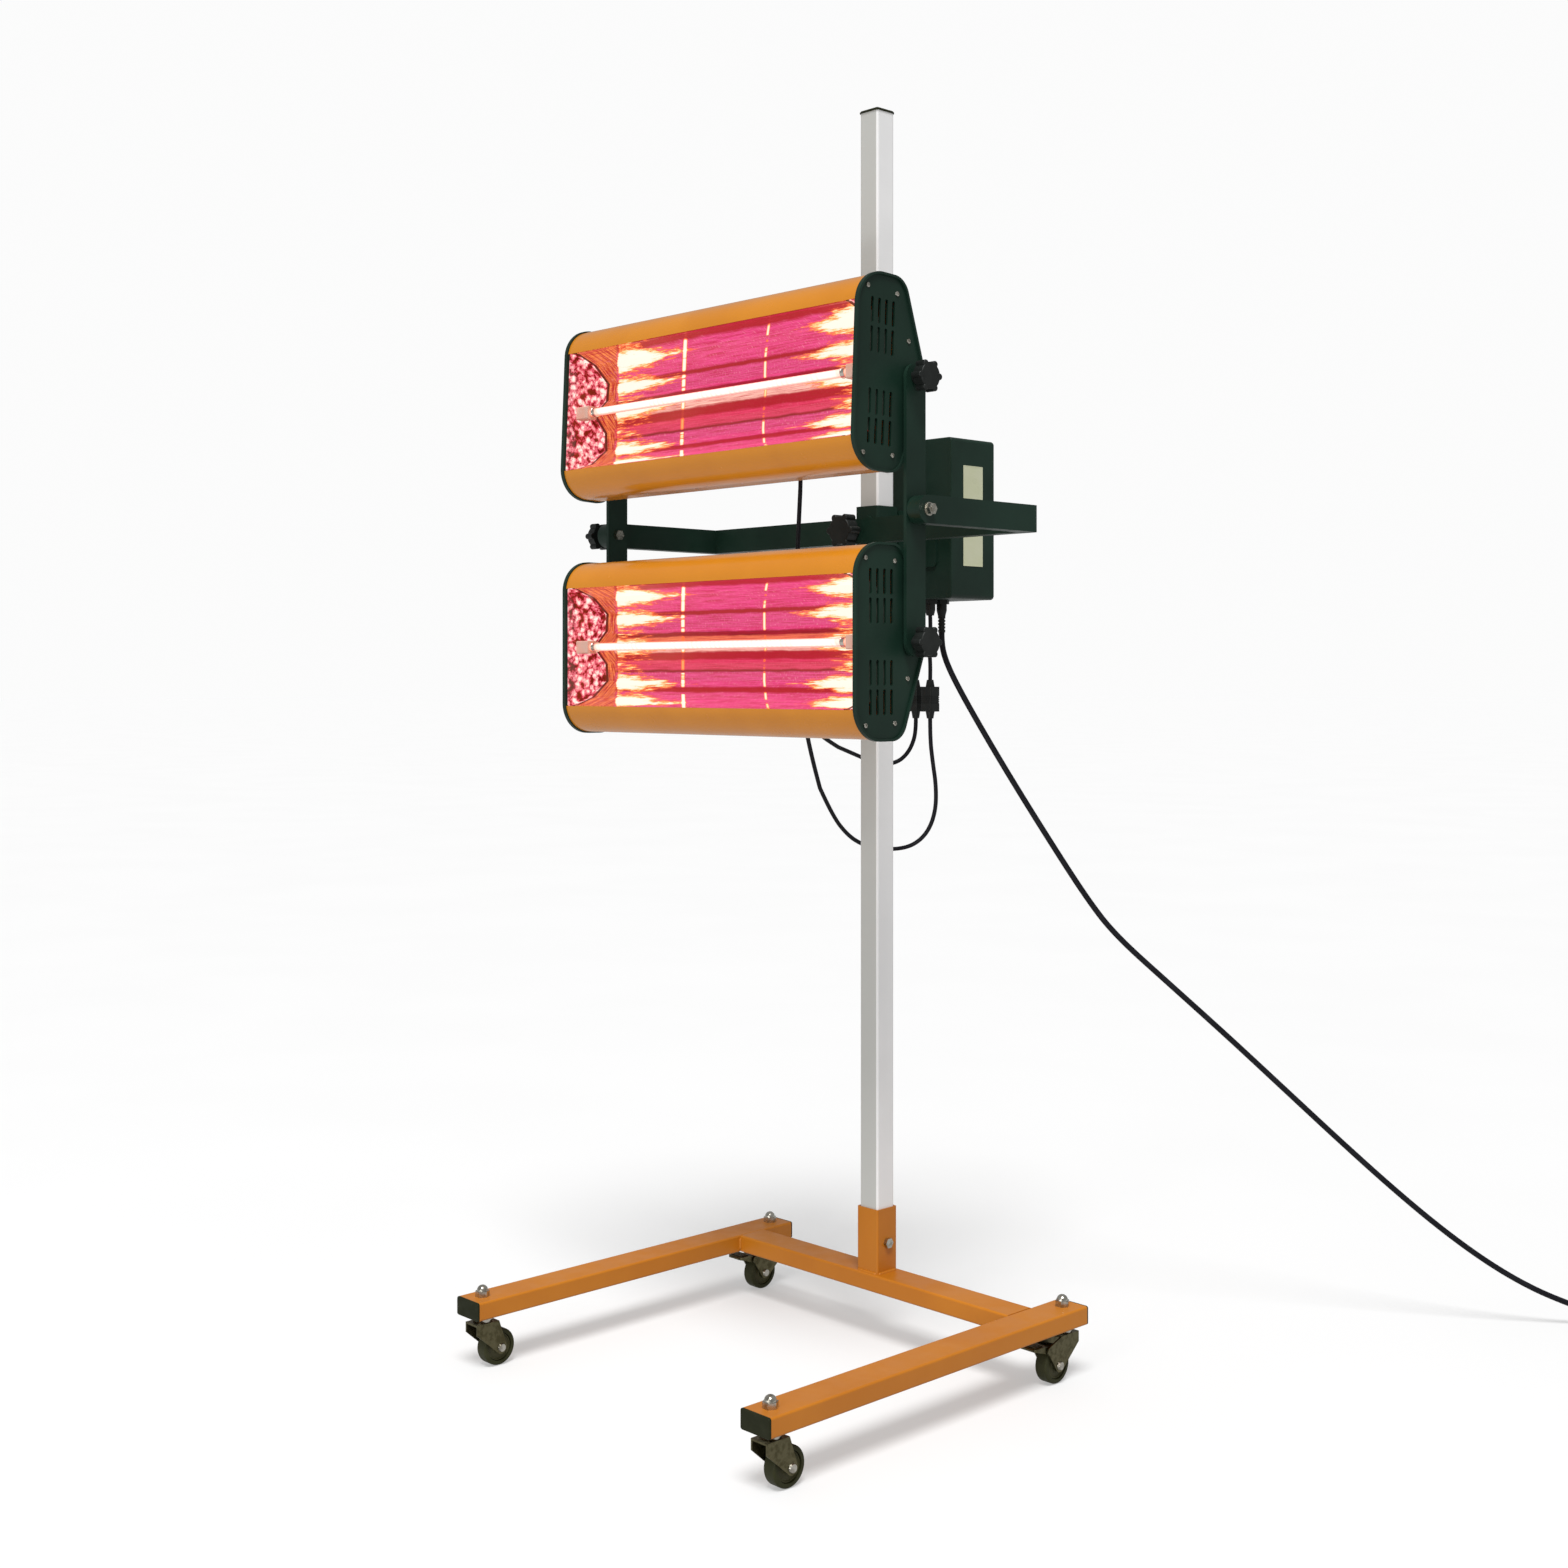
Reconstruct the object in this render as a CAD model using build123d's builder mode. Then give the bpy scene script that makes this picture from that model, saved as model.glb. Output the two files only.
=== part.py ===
"""Infrared paint curing lamp: two tilting lamp cassettes on a post with a wheeled base.

Sizes are in millimetres. X runs across the stand, -Y is the front, which the lamps face, and
+Z is up. The origin lies on the floor under the middle of the lamp, measured from the front
of the rails to the back of the control box. The free cords are left out of that middle.
"""

from build123d import *

import os
from math import atan, cos, degrees, pi, radians, sin, sqrt, tan

os.makedirs("parts", exist_ok=True)

# Base: two side rails joined by a cross member, all of one flat tube
rail_width = 50.0
rail_height = 25.0
rail_wall = 2.0
rail_corner = 3.0
rail_length = 584.0
rail_spacing = 574.0
rail_front_reach = 505.0
cap_thickness = 3.0
cap_corner = 1.0
cap_plug_depth = 10.0
cap_plug_play = 0.2

# Post, the socket it stands in and its end cap
post_side = 35.0
post_wall = 2.5
post_corner = 4.0
post_length = 1652.0
socket_play = 0.5
socket_wall = 2.0
socket_corner = 2.5
socket_height = 91.0
socket_bolt_rise = 42.0
post_cap_thickness = 4.0
post_cap_overhang = 1.0
post_cap_bevel = 2.0
post_cap_plug_depth = 14.0

# Metric fasteners
bolt_diameter = 8.0
bolt_head_width = 13.0
bolt_head_height = 5.3
bolt_play = 0.3
nut_height = 6.5
washer_diameter = 17.0
washer_thickness = 1.6
edge_taper = 20.0

# Casters
wheel_diameter = 50.0
wheel_width = 19.0
wheel_edge = 2.5
hub_diameter = 16.0
hub_side_play = 0.7
rim_diameter = 38.0
rim_recess = 4.0
caster_height = 72.0
caster_trail = 22.0
caster_inset = 25.0
axle_diameter = 8.0
axle_play = 0.3
axle_head_diameter = 12.0
axle_head_height = 2.5
fork_inner_width = 23.0
fork_sheet = 2.5
fork_plate_length = 36.0
fork_plate_rise = 14.0
fork_foot_diameter = 17.0
race_diameter = 30.0
race_height = 5.7
race_flange_diameter = 34.0
race_flange_height = 3.0
swivel_play = 0.3
stem_diameter = 10.0
stem_foot_diameter = 17.0
stem_foot_height = 2.6
stem_end_rise = 9.0
acorn_width = 17.0
acorn_skirt = 8.0
acorn_dome_diameter = 15.4

# Brake pedals of the two back casters
pedal_reach = 42.0
pedal_height = 49.0
pedal_pin_diameter = 5.0
pedal_eye_diameter = 10.0
pedal_side_play = 0.8
pedal_tip_reach = 74.0
pedal_tip_rise = 7.0
pedal_pad_width = 31.0
pedal_pad_length = 21.0
pedal_pad_thickness = 4.0
pedal_rib_width = 2.0
pedal_rib_height = 1.2
pedal_rib_count = 4

# Carriage that slides on the post
sleeve_play = 0.4
sleeve_wall = 4.0
sleeve_corner = 4.0
sleeve_height = 74.0
head_height = 1150.0
pad_diameter = 46.0
pad_thickness = 2.5
pad_play = 0.3
stud_diameter = 10.0
stud_length = 52.0
bracket_depth = 42.1
bracket_width = 46.0
bracket_height = 64.0
bracket_wall = 3.0
flange_width = 116.0
flange_height = 96.0
flange_corner = 6.0

# Control box behind the post
box_width = 170.0
box_depth = 94.0
box_height = 230.0
box_rise = 21.0
box_corner = 6.0
box_wall = 2.0
lid_thickness = 6.0
lid_rim = 2.0
gland_width = 20.0
gland_nut_height = 6.0
gland_body_diameter = 15.0
gland_body_length = 9.0
gland_dome_diameter = 11.0
gland_dome_length = 8.0
mains_gland_x = 30.0
mains_gland_setback = 41.0
relief_length = 24.0
relief_tip_diameter = 10.5
relief_ring_count = 4
relief_ring_gap = 2.0
relief_ring_depth = 1.0

# Yoke that carries the lamp frame
yoke_height = 35.0
yoke_thickness = 20.0
yoke_wall = 2.0
yoke_bend = 8.0
leg_round_share = 0.49
side_play = 0.5
pivot_reach = 240.0

# Arms and tilt pivots
arm_width = 35.0
arm_thickness = 5.0
pivot_drop = 164.0

# Lamp cassettes
housing_length = 568.0
lamp_height = 240.0
lamp_depth = 87.0
front_radius = 41.0
back_radius = 25.0
lamp_wall = 1.5
mouth_height = 166.0
hem_depth = 4.0
housing_setback = 12.0
plate_thickness = 3.0
rim_height = 6.0
rim_thickness = 3.0
rim_overhang = 2.0
ear_radius = 25.0
ear_boss_diameter = 28.0
vent_width = 5.0
vent_length = 32.0
vent_pitch = 12.5
vent_row_pitch = 36.0
vent_group_height = 56.0
vent_setback = 54.0
vent_columns = 4
upper_lean = 2.5
lower_lean = 0.0

# Reflector and quartz tube; the section shares follow the mouth height and the lamp depth
reflector_sheet = 1.0
reflector_end_gap = 2.0
reflector_lip = 5.0
reflector_height_shares = (0.43, 0.29, 0.14, 0.0)
reflector_depth_shares = (0.42, 0.72, 0.7, 0.46)
scallop_radius = 46.0
scallop_depth = 16.0
quartz_diameter = 11.0
quartz_setback_share = 0.27
holder_length = 26.0
holder_height = 18.0
holder_depth = 16.0
holder_corner = 2.0
holder_play = 0.2
pinch_length = 12.0

# Star knobs
knob_diameter = 42.0
knob_thickness = 15.0
knob_stem_diameter = 18.0
knob_stem_length = 10.0
knob_lobes = 6
knob_lobe_share = 0.2
knob_edge = 2.0
knob_seat_play = 0.5
big_knob_diameter = 50.0
big_knob_thickness = 19.0
big_knob_stem_length = 14.0
knob_floor = 4.0

# Lamp leads: short tails below the box, in-line connectors, then a cord to each lamp
lead_diameter = 6.0
lead_gland_x = {"lower": 2.0, "upper": 30.0}
lead_gland_setback = 16.0
lead_tail_length = 93.0
connector_width = 21.0
connector_depth = 20.0
connector_height = 36.0
connector_corner = 3.0
connector_neck_diameter = 13.0
connector_neck_length = 10.0
connector_grip_gap = 3.0
connector_grip_depth = 0.8
connector_grips = 4
lamp_gland_x = {"lower": -16.0, "upper": 32.0}
lamp_gland_width = 17.0
lamp_gland_nut = 5.0
lamp_gland_body_diameter = 13.0
lamp_gland_body_length = 8.0
lamp_gland_dome_length = 5.0

# Mains cord, its put-away coil and plug
mains_diameter = 8.5
coil_turns = 6.5
coil_middle_radius = 51.0
coil_gap = 0.8
coil_end_flare = 16.0
arc_share = 0.45
plug_relief_length = 26.0
plug_relief_diameter = 12.0
plug_body_diameter = 37.0
plug_body_length = 34.0
plug_waist_diameter = 26.0
plug_face_depth = 12.0
plug_edge = 2.0
plug_pin_diameter = 4.8
plug_pin_length = 19.0
plug_pin_spacing = 19.0

# Places that follow from the sizes above
lamp_half = housing_length / 2 + rim_height
arm_inner = lamp_half + side_play
yoke_inner = arm_inner + arm_thickness + side_play
yoke_outer = yoke_inner + yoke_thickness
sleeve_side = post_side + 2 * (sleeve_play + sleeve_wall)
box_front_reach = sleeve_side / 2 + bracket_depth
box_reach = box_front_reach + box_depth
post_y = (rail_front_reach - box_reach) / 2
rail_front_y = post_y - rail_front_reach
tube_front_y = rail_front_y + cap_thickness
tube_back_y = tube_front_y + rail_length
rail_underside = caster_height
rail_top = rail_underside + rail_height
rail_z = rail_underside + rail_height / 2
post_foot = rail_top
post_top = post_foot + post_length
pivot_y = post_y - pivot_reach
cut_over = 1.0


def rail_section():
    """Draw the section of the flat tube that the rails and the cross member share."""
    RectangleRounded(rail_width, rail_height, rail_corner)
    offset(amount=-rail_wall, kind=Kind.INTERSECTION, mode=Mode.SUBTRACT)


caster_spots = {
    "front_left": (-rail_spacing / 2, tube_front_y - cap_thickness + caster_inset, 1),
    "front_right": (rail_spacing / 2, tube_front_y - cap_thickness + caster_inset, 1),
    "back_left": (-rail_spacing / 2, tube_back_y + cap_thickness - caster_inset, -1),
    "back_right": (rail_spacing / 2, tube_back_y + cap_thickness - caster_inset, -1),
}
stem_spots = [(x, y) for x, y, _ in caster_spots.values()]

# Side rails, each drilled for its two caster stems
with BuildPart() as left_rail:
    with BuildSketch(Plane.XZ.offset(-tube_front_y)):
        with Locations((-rail_spacing / 2, rail_z)):
            rail_section()
    extrude(amount=-rail_length)
    with Locations([(x, y, rail_top) for x, y in stem_spots if x < 0]):
        Hole(stem_diameter / 2 + bolt_play, rail_height + cut_over)
left_rail.part.label = "left_rail"
export_step(left_rail.part, "parts/left_rail.step")

with BuildPart() as right_rail:
    with BuildSketch(Plane.XZ.offset(-tube_front_y)):
        with Locations((rail_spacing / 2, rail_z)):
            rail_section()
    extrude(amount=-rail_length)
    with Locations([(x, y, rail_top) for x, y in stem_spots if x > 0]):
        Hole(stem_diameter / 2 + bolt_play, rail_height + cut_over)
right_rail.part.label = "right_rail"
export_step(right_rail.part, "parts/right_rail.step")

# Cross member between the inner faces of the rails, under the post
with BuildPart() as cross_member:
    with BuildSketch(Plane.YZ.offset(-(rail_spacing - rail_width) / 2)):
        with Locations((post_y, rail_z)):
            rail_section()
    extrude(amount=rail_spacing - rail_width)
cross_member.part.label = "cross_member"
export_step(cross_member.part, "parts/cross_member.step")

# Push-in caps at both ends of both rails
with BuildPart() as rail_caps:
    for end_y, outward in ((tube_front_y, -1), (tube_back_y, 1)):
        with BuildSketch(Plane.XZ.offset(-end_y)):
            with Locations((-rail_spacing / 2, rail_z), (rail_spacing / 2, rail_z)):
                RectangleRounded(rail_width, rail_height, rail_corner)
        extrude(amount=-outward * cap_thickness)
    chamfer(
        rail_caps.faces().group_by(Axis.Y)[0].edges() + rail_caps.faces().group_by(Axis.Y)[-1].edges(),
        cap_corner,
    )
    for end_y, outward in ((tube_front_y, -1), (tube_back_y, 1)):
        with BuildSketch(Plane.XZ.offset(-end_y)):
            with Locations((-rail_spacing / 2, rail_z), (rail_spacing / 2, rail_z)):
                RectangleRounded(
                    rail_width - 2 * (rail_wall + cap_plug_play),
                    rail_height - 2 * (rail_wall + cap_plug_play),
                    rail_corner - rail_wall,
                )
        extrude(amount=outward * cap_plug_depth)
rail_caps.part.label = "rail_caps"
export_step(rail_caps.part, "parts/rail_caps.step")

# Square socket on the cross member
socket_side = post_side + 2 * (socket_play + socket_wall)
socket_bolt_z = rail_top + socket_bolt_rise
with BuildPart() as post_socket:
    with BuildSketch(Plane.XY.offset(rail_top)):
        with Locations((0, post_y)):
            RectangleRounded(socket_side, socket_side, socket_corner)
            Rectangle(post_side + 2 * socket_play, post_side + 2 * socket_play, mode=Mode.SUBTRACT)
    extrude(amount=socket_height)
    with BuildSketch(Plane.YZ.offset(socket_side / 2 + cut_over)):
        with Locations((post_y, socket_bolt_z)):
            Circle(bolt_diameter / 2 + bolt_play)
    extrude(amount=-(socket_wall + 2 * cut_over), mode=Mode.SUBTRACT)
post_socket.part.label = "post_socket"
export_step(post_socket.part, "parts/post_socket.step")

# Clamp bolt of the socket: its tip presses on the post
with BuildPart() as socket_bolt:
    with BuildSketch(Plane.YZ.offset(post_side / 2)):
        with Locations((post_y, socket_bolt_z)):
            Circle(bolt_diameter / 2)
    extrude(amount=socket_play + socket_wall)
    with BuildSketch(Plane.YZ.offset(socket_side / 2)):
        with Locations((post_y, socket_bolt_z)):
            RegularPolygon(bolt_head_width / 2, 6, major_radius=False)
    extrude(amount=bolt_head_height)
socket_bolt.part.label = "socket_bolt"
export_step(socket_bolt.part, "parts/socket_bolt.step")

# Aluminium post
with BuildPart() as post:
    with BuildSketch(Plane.XY.offset(post_foot)):
        with Locations((0, post_y)):
            RectangleRounded(post_side, post_side, post_corner)
        offset(amount=-post_wall, kind=Kind.INTERSECTION, mode=Mode.SUBTRACT)
    extrude(amount=post_length)
post.part.label = "post"
export_step(post.part, "parts/post.step")

with BuildPart() as post_cap:
    with BuildSketch(Plane.XY.offset(post_top)):
        with Locations((0, post_y)):
            RectangleRounded(
                post_side + 2 * post_cap_overhang, post_side + 2 * post_cap_overhang, post_corner
            )
    extrude(amount=post_cap_thickness)
    chamfer(post_cap.faces().sort_by(Axis.Z)[-1].edges(), post_cap_bevel)
    with BuildSketch(Plane.XY.offset(post_top)):
        with Locations((0, post_y)):
            Rectangle(
                post_side - 2 * (post_wall + cap_plug_play), post_side - 2 * (post_wall + cap_plug_play)
            )
    extrude(amount=-post_cap_plug_depth)
    chamfer(post_cap.edges().filter_by(Axis.Z).group_by(Axis.Z)[0], post_wall / 2)
post_cap.part.label = "post_cap"
export_step(post_cap.part, "parts/post_cap.step")

# Caster stems: threaded rod, swivel race under the rail and a riveted foot that holds the fork
race_top = rail_underside
fork_top = race_top - race_flange_height - race_height - swivel_play
with BuildPart() as caster_stems:
    with BuildSketch(Plane.XY.offset(race_top)):
        with Locations(stem_spots):
            Circle(race_flange_diameter / 2)
    extrude(amount=-race_flange_height)
    with BuildSketch(Plane.XY.offset(race_top - race_flange_height)):
        with Locations(stem_spots):
            Circle(race_diameter / 2)
    extrude(amount=-race_height, taper=edge_taper)
    with BuildSketch(Plane.XY.offset(rail_top + stem_end_rise)):
        with Locations(stem_spots):
            Circle(stem_diameter / 2)
    extrude(amount=-(rail_top + stem_end_rise - fork_top + fork_sheet + swivel_play + stem_foot_height))
    with BuildSketch(Plane.XY.offset(fork_top - fork_sheet - swivel_play)):
        with Locations(stem_spots):
            Circle(stem_foot_diameter / 2)
    extrude(amount=-stem_foot_height)
caster_stems.part.label = "caster_stems"
export_step(caster_stems.part, "parts/caster_stems.step")

# Acorn nuts on top of the rails
with BuildPart() as acorn_nuts:
    with BuildSketch(Plane.XY.offset(rail_top)):
        with Locations(stem_spots):
            RegularPolygon(acorn_width / 2, 6, major_radius=False)
    extrude(amount=acorn_skirt)
    with Locations([(x, y, rail_top + acorn_skirt) for x, y in stem_spots]):
        Sphere(acorn_dome_diameter / 2)
    with BuildSketch(Plane.XY.offset(rail_top)):
        with Locations(stem_spots):
            Rectangle(2 * acorn_width, 2 * acorn_width)
    extrude(amount=-acorn_dome_diameter, mode=Mode.SUBTRACT)
    with BuildSketch(Plane.XY.offset(rail_top)):
        with Locations(stem_spots):
            Circle(stem_diameter / 2 + holder_play)
    extrude(amount=stem_end_rise + holder_play, mode=Mode.SUBTRACT)
acorn_nuts.part.label = "acorn_nuts"
export_step(acorn_nuts.part, "parts/acorn_nuts.step")

# Casters: each fork swivels on its stem, and its wheel trails behind the stem
axle_z = wheel_diameter / 2
fork_outer = fork_inner_width / 2 + fork_sheet
for corner, (stem_x, stem_y, trail) in caster_spots.items():
    axle_y = stem_y + trail * caster_trail
    has_brake = trail < 0

    with BuildPart() as fork:
        with BuildSketch(Plane.XY.offset(fork_top)):
            with Locations((stem_x, stem_y)):
                Rectangle(2 * fork_outer, fork_plate_length)
                Circle(stem_diameter / 2 + swivel_play, mode=Mode.SUBTRACT)
        extrude(amount=-fork_sheet)
        for side in (-1, 1):
            with BuildSketch(Plane.YZ.offset(stem_x + side * fork_inner_width / 2)):
                with Locations((stem_y, fork_top - fork_plate_rise / 2)):
                    Rectangle(fork_plate_length, fork_plate_rise)
                with Locations((axle_y, axle_z)):
                    Circle(fork_foot_diameter / 2)
                if has_brake:
                    with Locations((stem_y + trail * pedal_reach, pedal_height)):
                        Circle(pedal_eye_diameter / 2)
                make_hull()
                with Locations((axle_y, axle_z)):
                    Circle(axle_diameter / 2 + axle_play, mode=Mode.SUBTRACT)
                if has_brake:
                    with Locations((stem_y + trail * pedal_reach, pedal_height)):
                        Circle(pedal_pin_diameter / 2 + axle_play, mode=Mode.SUBTRACT)
            extrude(amount=side * fork_sheet)
    fork.part.label = f"{corner}_fork"
    export_step(fork.part, f"parts/{corner}_fork.step")

    with BuildPart() as axle:
        with BuildSketch(Plane.YZ.offset(stem_x)):
            with Locations((axle_y, axle_z)):
                Circle(axle_diameter / 2)
        extrude(amount=fork_outer, both=True)
        for side in (-1, 1):
            with BuildSketch(Plane.YZ.offset(stem_x + side * fork_outer)):
                with Locations((axle_y, axle_z)):
                    Circle(axle_head_diameter / 2)
            extrude(amount=side * axle_head_height, taper=edge_taper)
    axle.part.label = f"{corner}_axle"
    export_step(axle.part, f"parts/{corner}_axle.step")

    with BuildPart() as wheel:
        with BuildSketch(Plane.YZ.offset(stem_x)):
            with Locations((axle_y, axle_z)):
                Circle(wheel_diameter / 2)
        extrude(amount=wheel_width / 2, both=True)
        fillet(wheel.edges().filter_by(GeomType.CIRCLE), wheel_edge)
        for side in (-1, 1):
            with BuildSketch(Plane.YZ.offset(stem_x + side * wheel_width / 2)):
                with Locations((axle_y, axle_z)):
                    Circle(rim_diameter / 2)
                    Circle(hub_diameter / 2, mode=Mode.SUBTRACT)
            extrude(amount=-side * rim_recess, mode=Mode.SUBTRACT)
        with BuildSketch(Plane.YZ.offset(stem_x)):
            with Locations((axle_y, axle_z)):
                Circle(hub_diameter / 2)
        extrude(amount=fork_inner_width / 2 - hub_side_play, both=True)
        with BuildSketch(Plane.YZ.offset(stem_x)):
            with Locations((axle_y, axle_z)):
                Circle(axle_diameter / 2 + axle_play)
        extrude(amount=fork_inner_width, both=True, mode=Mode.SUBTRACT)
    wheel.part.label = f"{corner}_wheel"
    export_step(wheel.part, f"parts/{corner}_wheel.step")

    if has_brake:
        eye_y = stem_y + trail * pedal_reach
        tip_y = stem_y + trail * pedal_tip_reach
        tip_z = pedal_height + pedal_tip_rise
        with BuildPart() as pedal:
            with BuildSketch(Plane.YZ.offset(stem_x)):
                with Locations((eye_y, pedal_height)):
                    Circle(pedal_eye_diameter / 2)
                with Locations((tip_y, tip_z)):
                    Circle(pedal_pad_thickness / 2)
                make_hull()
            extrude(amount=fork_inner_width / 2 - pedal_side_play, both=True)
            with BuildSketch(Plane.YZ.offset(stem_x)):
                with Locations((eye_y, pedal_height)):
                    Circle(pedal_pin_diameter / 2)
            extrude(amount=fork_outer, both=True)
            with BuildSketch(Plane.XY.offset(tip_z - pedal_pad_thickness / 2)):
                with Locations((stem_x, tip_y - trail * pedal_pad_length / 2)):
                    RectangleRounded(pedal_pad_width, pedal_pad_length, pedal_pad_thickness)
            extrude(amount=pedal_pad_thickness)
            with BuildSketch(Plane.XY.offset(tip_z + pedal_pad_thickness / 2)):
                with Locations((stem_x, tip_y - trail * pedal_pad_length / 2)):
                    with GridLocations(0, 2 * pedal_rib_width, 1, pedal_rib_count):
                        Rectangle(pedal_pad_width - 2 * pedal_pad_thickness, pedal_rib_width)
            extrude(amount=pedal_rib_height)
        pedal.part.label = f"{corner}_brake_pedal"
        export_step(pedal.part, f"parts/{corner}_brake_pedal.step")

# Carriage sleeve, with a round friction pad and a welded stud on its front for the yoke
sleeve_bottom = head_height - sleeve_height / 2
sleeve_front_y = post_y - sleeve_side / 2
pad_front_y = sleeve_front_y - pad_thickness
with BuildPart() as carriage_sleeve:
    with BuildSketch(Plane.XY.offset(sleeve_bottom)):
        with Locations((0, post_y)):
            RectangleRounded(sleeve_side, sleeve_side, sleeve_corner)
    extrude(amount=sleeve_height)
    with BuildSketch(Plane.XZ.offset(-post_y)):
        with Locations((0, head_height)):
            Circle(pad_diameter / 2)
    extrude(amount=post_y - pad_front_y)
    with BuildSketch(Plane.XY.offset(sleeve_bottom)):
        with Locations((0, post_y)):
            RectangleRounded(post_side + 2 * sleeve_play, post_side + 2 * sleeve_play, post_corner)
    extrude(amount=sleeve_height, mode=Mode.SUBTRACT)
    with BuildSketch(Plane.XZ.offset(-(sleeve_front_y + sleeve_wall))):
        with Locations((0, head_height)):
            Circle(stud_diameter / 2)
    extrude(amount=stud_length)
    chamfer(carriage_sleeve.edges().group_by(Axis.Y)[0], stud_diameter / 8)
carriage_sleeve.part.label = "carriage_sleeve"
export_step(carriage_sleeve.part, "parts/carriage_sleeve.step")

# Channel and flange that hold the control box off the carriage
box_front_y = post_y + box_front_reach
with BuildPart() as box_bracket:
    with BuildSketch(Plane.XY.offset(head_height - bracket_height / 2)):
        with Locations((0, (post_y + sleeve_side / 2 + box_front_y) / 2)):
            Rectangle(bracket_width, bracket_depth)
            Rectangle(
                bracket_width - 2 * bracket_wall, bracket_depth - 2 * bracket_wall, mode=Mode.SUBTRACT
            )
    extrude(amount=bracket_height)
    with BuildSketch(Plane.XZ.offset(-box_front_y)):
        with Locations((0, head_height)):
            RectangleRounded(flange_width, flange_height, flange_corner)
    extrude(amount=bracket_wall)
box_bracket.part.label = "box_bracket"
export_step(box_bracket.part, "parts/box_bracket.step")

# Control box: a folded case, open to the back, and the cover that closes it
box_z = head_height + box_rise
box_bottom = box_z - box_height / 2
with BuildPart() as control_box:
    with BuildSketch(Plane.XZ.offset(-box_front_y)):
        with Locations((0, box_z)):
            RectangleRounded(box_width, box_height, box_corner)
    extrude(amount=-(box_depth - lid_thickness))
    fillet(control_box.faces().sort_by(Axis.Y)[0].edges(), box_wall)
    with BuildSketch(Plane.XZ.offset(-(box_front_y + box_wall))):
        with Locations((0, box_z)):
            RectangleRounded(
                box_width - 2 * box_wall, box_height - 2 * box_wall, box_corner - box_wall
            )
    extrude(amount=-box_depth, mode=Mode.SUBTRACT)
control_box.part.label = "control_box"
export_step(control_box.part, "parts/control_box.step")

with BuildPart() as box_cover:
    with BuildSketch(Plane.XZ.offset(-(box_front_y + box_depth - lid_thickness))):
        with Locations((0, box_z)):
            RectangleRounded(box_width, box_height, box_corner)
    extrude(amount=-lid_thickness)
    fillet(box_cover.faces().sort_by(Axis.Y)[-1].edges(), lid_rim)
    with BuildSketch(Plane.XZ.offset(-(box_front_y + box_depth - lid_thickness))):
        with Locations((0, box_z)):
            RectangleRounded(
                box_width - 2 * (box_wall + side_play),
                box_height - 2 * (box_wall + side_play),
                box_corner - box_wall,
            )
            offset(amount=-lid_rim, kind=Kind.INTERSECTION, mode=Mode.SUBTRACT)
    extrude(amount=lid_rim)
box_cover.part.label = "box_cover"
export_step(box_cover.part, "parts/box_cover.step")

# Glands under the box: one for the mains cord with its bend relief, two for the lamp leads
lead_gland_y = box_front_y + lead_gland_setback
mains_gland_y = box_front_y + mains_gland_setback
gland_bottom = box_bottom - gland_nut_height - gland_body_length - gland_dome_length
with BuildPart() as box_glands:
    gland_spots = [(x, lead_gland_y) for x in lead_gland_x.values()]
    gland_spots.append((mains_gland_x, mains_gland_y))
    with BuildSketch(Plane.XY.offset(box_bottom)):
        with Locations(gland_spots):
            RegularPolygon(gland_width / 2, 6, major_radius=False)
    extrude(amount=-gland_nut_height)
    with BuildSketch(Plane.XY.offset(box_bottom - gland_nut_height)):
        with Locations(gland_spots):
            Circle(gland_body_diameter / 2)
    extrude(amount=-gland_body_length)
    with BuildSketch(Plane.XY.offset(box_bottom - gland_nut_height - gland_body_length)):
        with Locations(gland_spots):
            Circle(gland_body_diameter / 2)
    dome_step = (gland_body_diameter - gland_dome_diameter) / 2
    extrude(amount=-gland_dome_length, taper=degrees(atan(dome_step / gland_dome_length)))
box_glands.part.label = "box_glands"
export_step(box_glands.part, "parts/box_glands.step")

# Tapered bend relief of the mains cord, moulded in rings
relief_top = gland_bottom
with BuildPart() as mains_relief:
    with BuildSketch(Plane.XY.offset(relief_top)):
        with Locations((mains_gland_x, mains_gland_y)):
            Circle(gland_dome_diameter / 2)
    relief_step = (gland_dome_diameter - relief_tip_diameter) / 2
    extrude(amount=-relief_length, taper=degrees(atan(relief_step / relief_length)))
    for ring in range(1, relief_ring_count + 1):
        ring_z = relief_top - ring * relief_length / (relief_ring_count + 1)
        with BuildSketch(Plane.XY.offset(ring_z)):
            with Locations((mains_gland_x, mains_gland_y)):
                Circle(gland_dome_diameter)
                Circle(relief_tip_diameter / 2 - relief_ring_depth, mode=Mode.SUBTRACT)
        extrude(amount=relief_ring_gap / 2, both=True, mode=Mode.SUBTRACT)
mains_relief.part.label = "mains_relief"
export_step(mains_relief.part, "parts/mains_relief.step")


def star_knob(plane, diameter, thickness, stem_length, bore_diameter):
    """Model a lobed knob; the plane lies under its stem and looks along its stud."""
    lobe_radius = diameter * knob_lobe_share / 2
    core_radius = diameter / 2 - lobe_radius
    along = Axis(plane.origin, plane.z_dir)
    with BuildSketch(plane) as stem:
        Circle(knob_stem_diameter / 2)
    extrude(stem.sketch, amount=stem_length)
    with BuildSketch(plane.offset(stem_length)) as lobes:
        Circle(core_radius)
        with PolarLocations(core_radius, knob_lobes):
            Circle(lobe_radius)
    extrude(lobes.sketch, amount=thickness)
    fillet(faces().filter_by(along).sort_by(along)[-1].edges(), knob_edge)
    with BuildSketch(plane) as bore:
        Circle(bore_diameter / 2)
    extrude(bore.sketch, amount=stem_length + thickness - knob_floor, mode=Mode.SUBTRACT)


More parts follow.
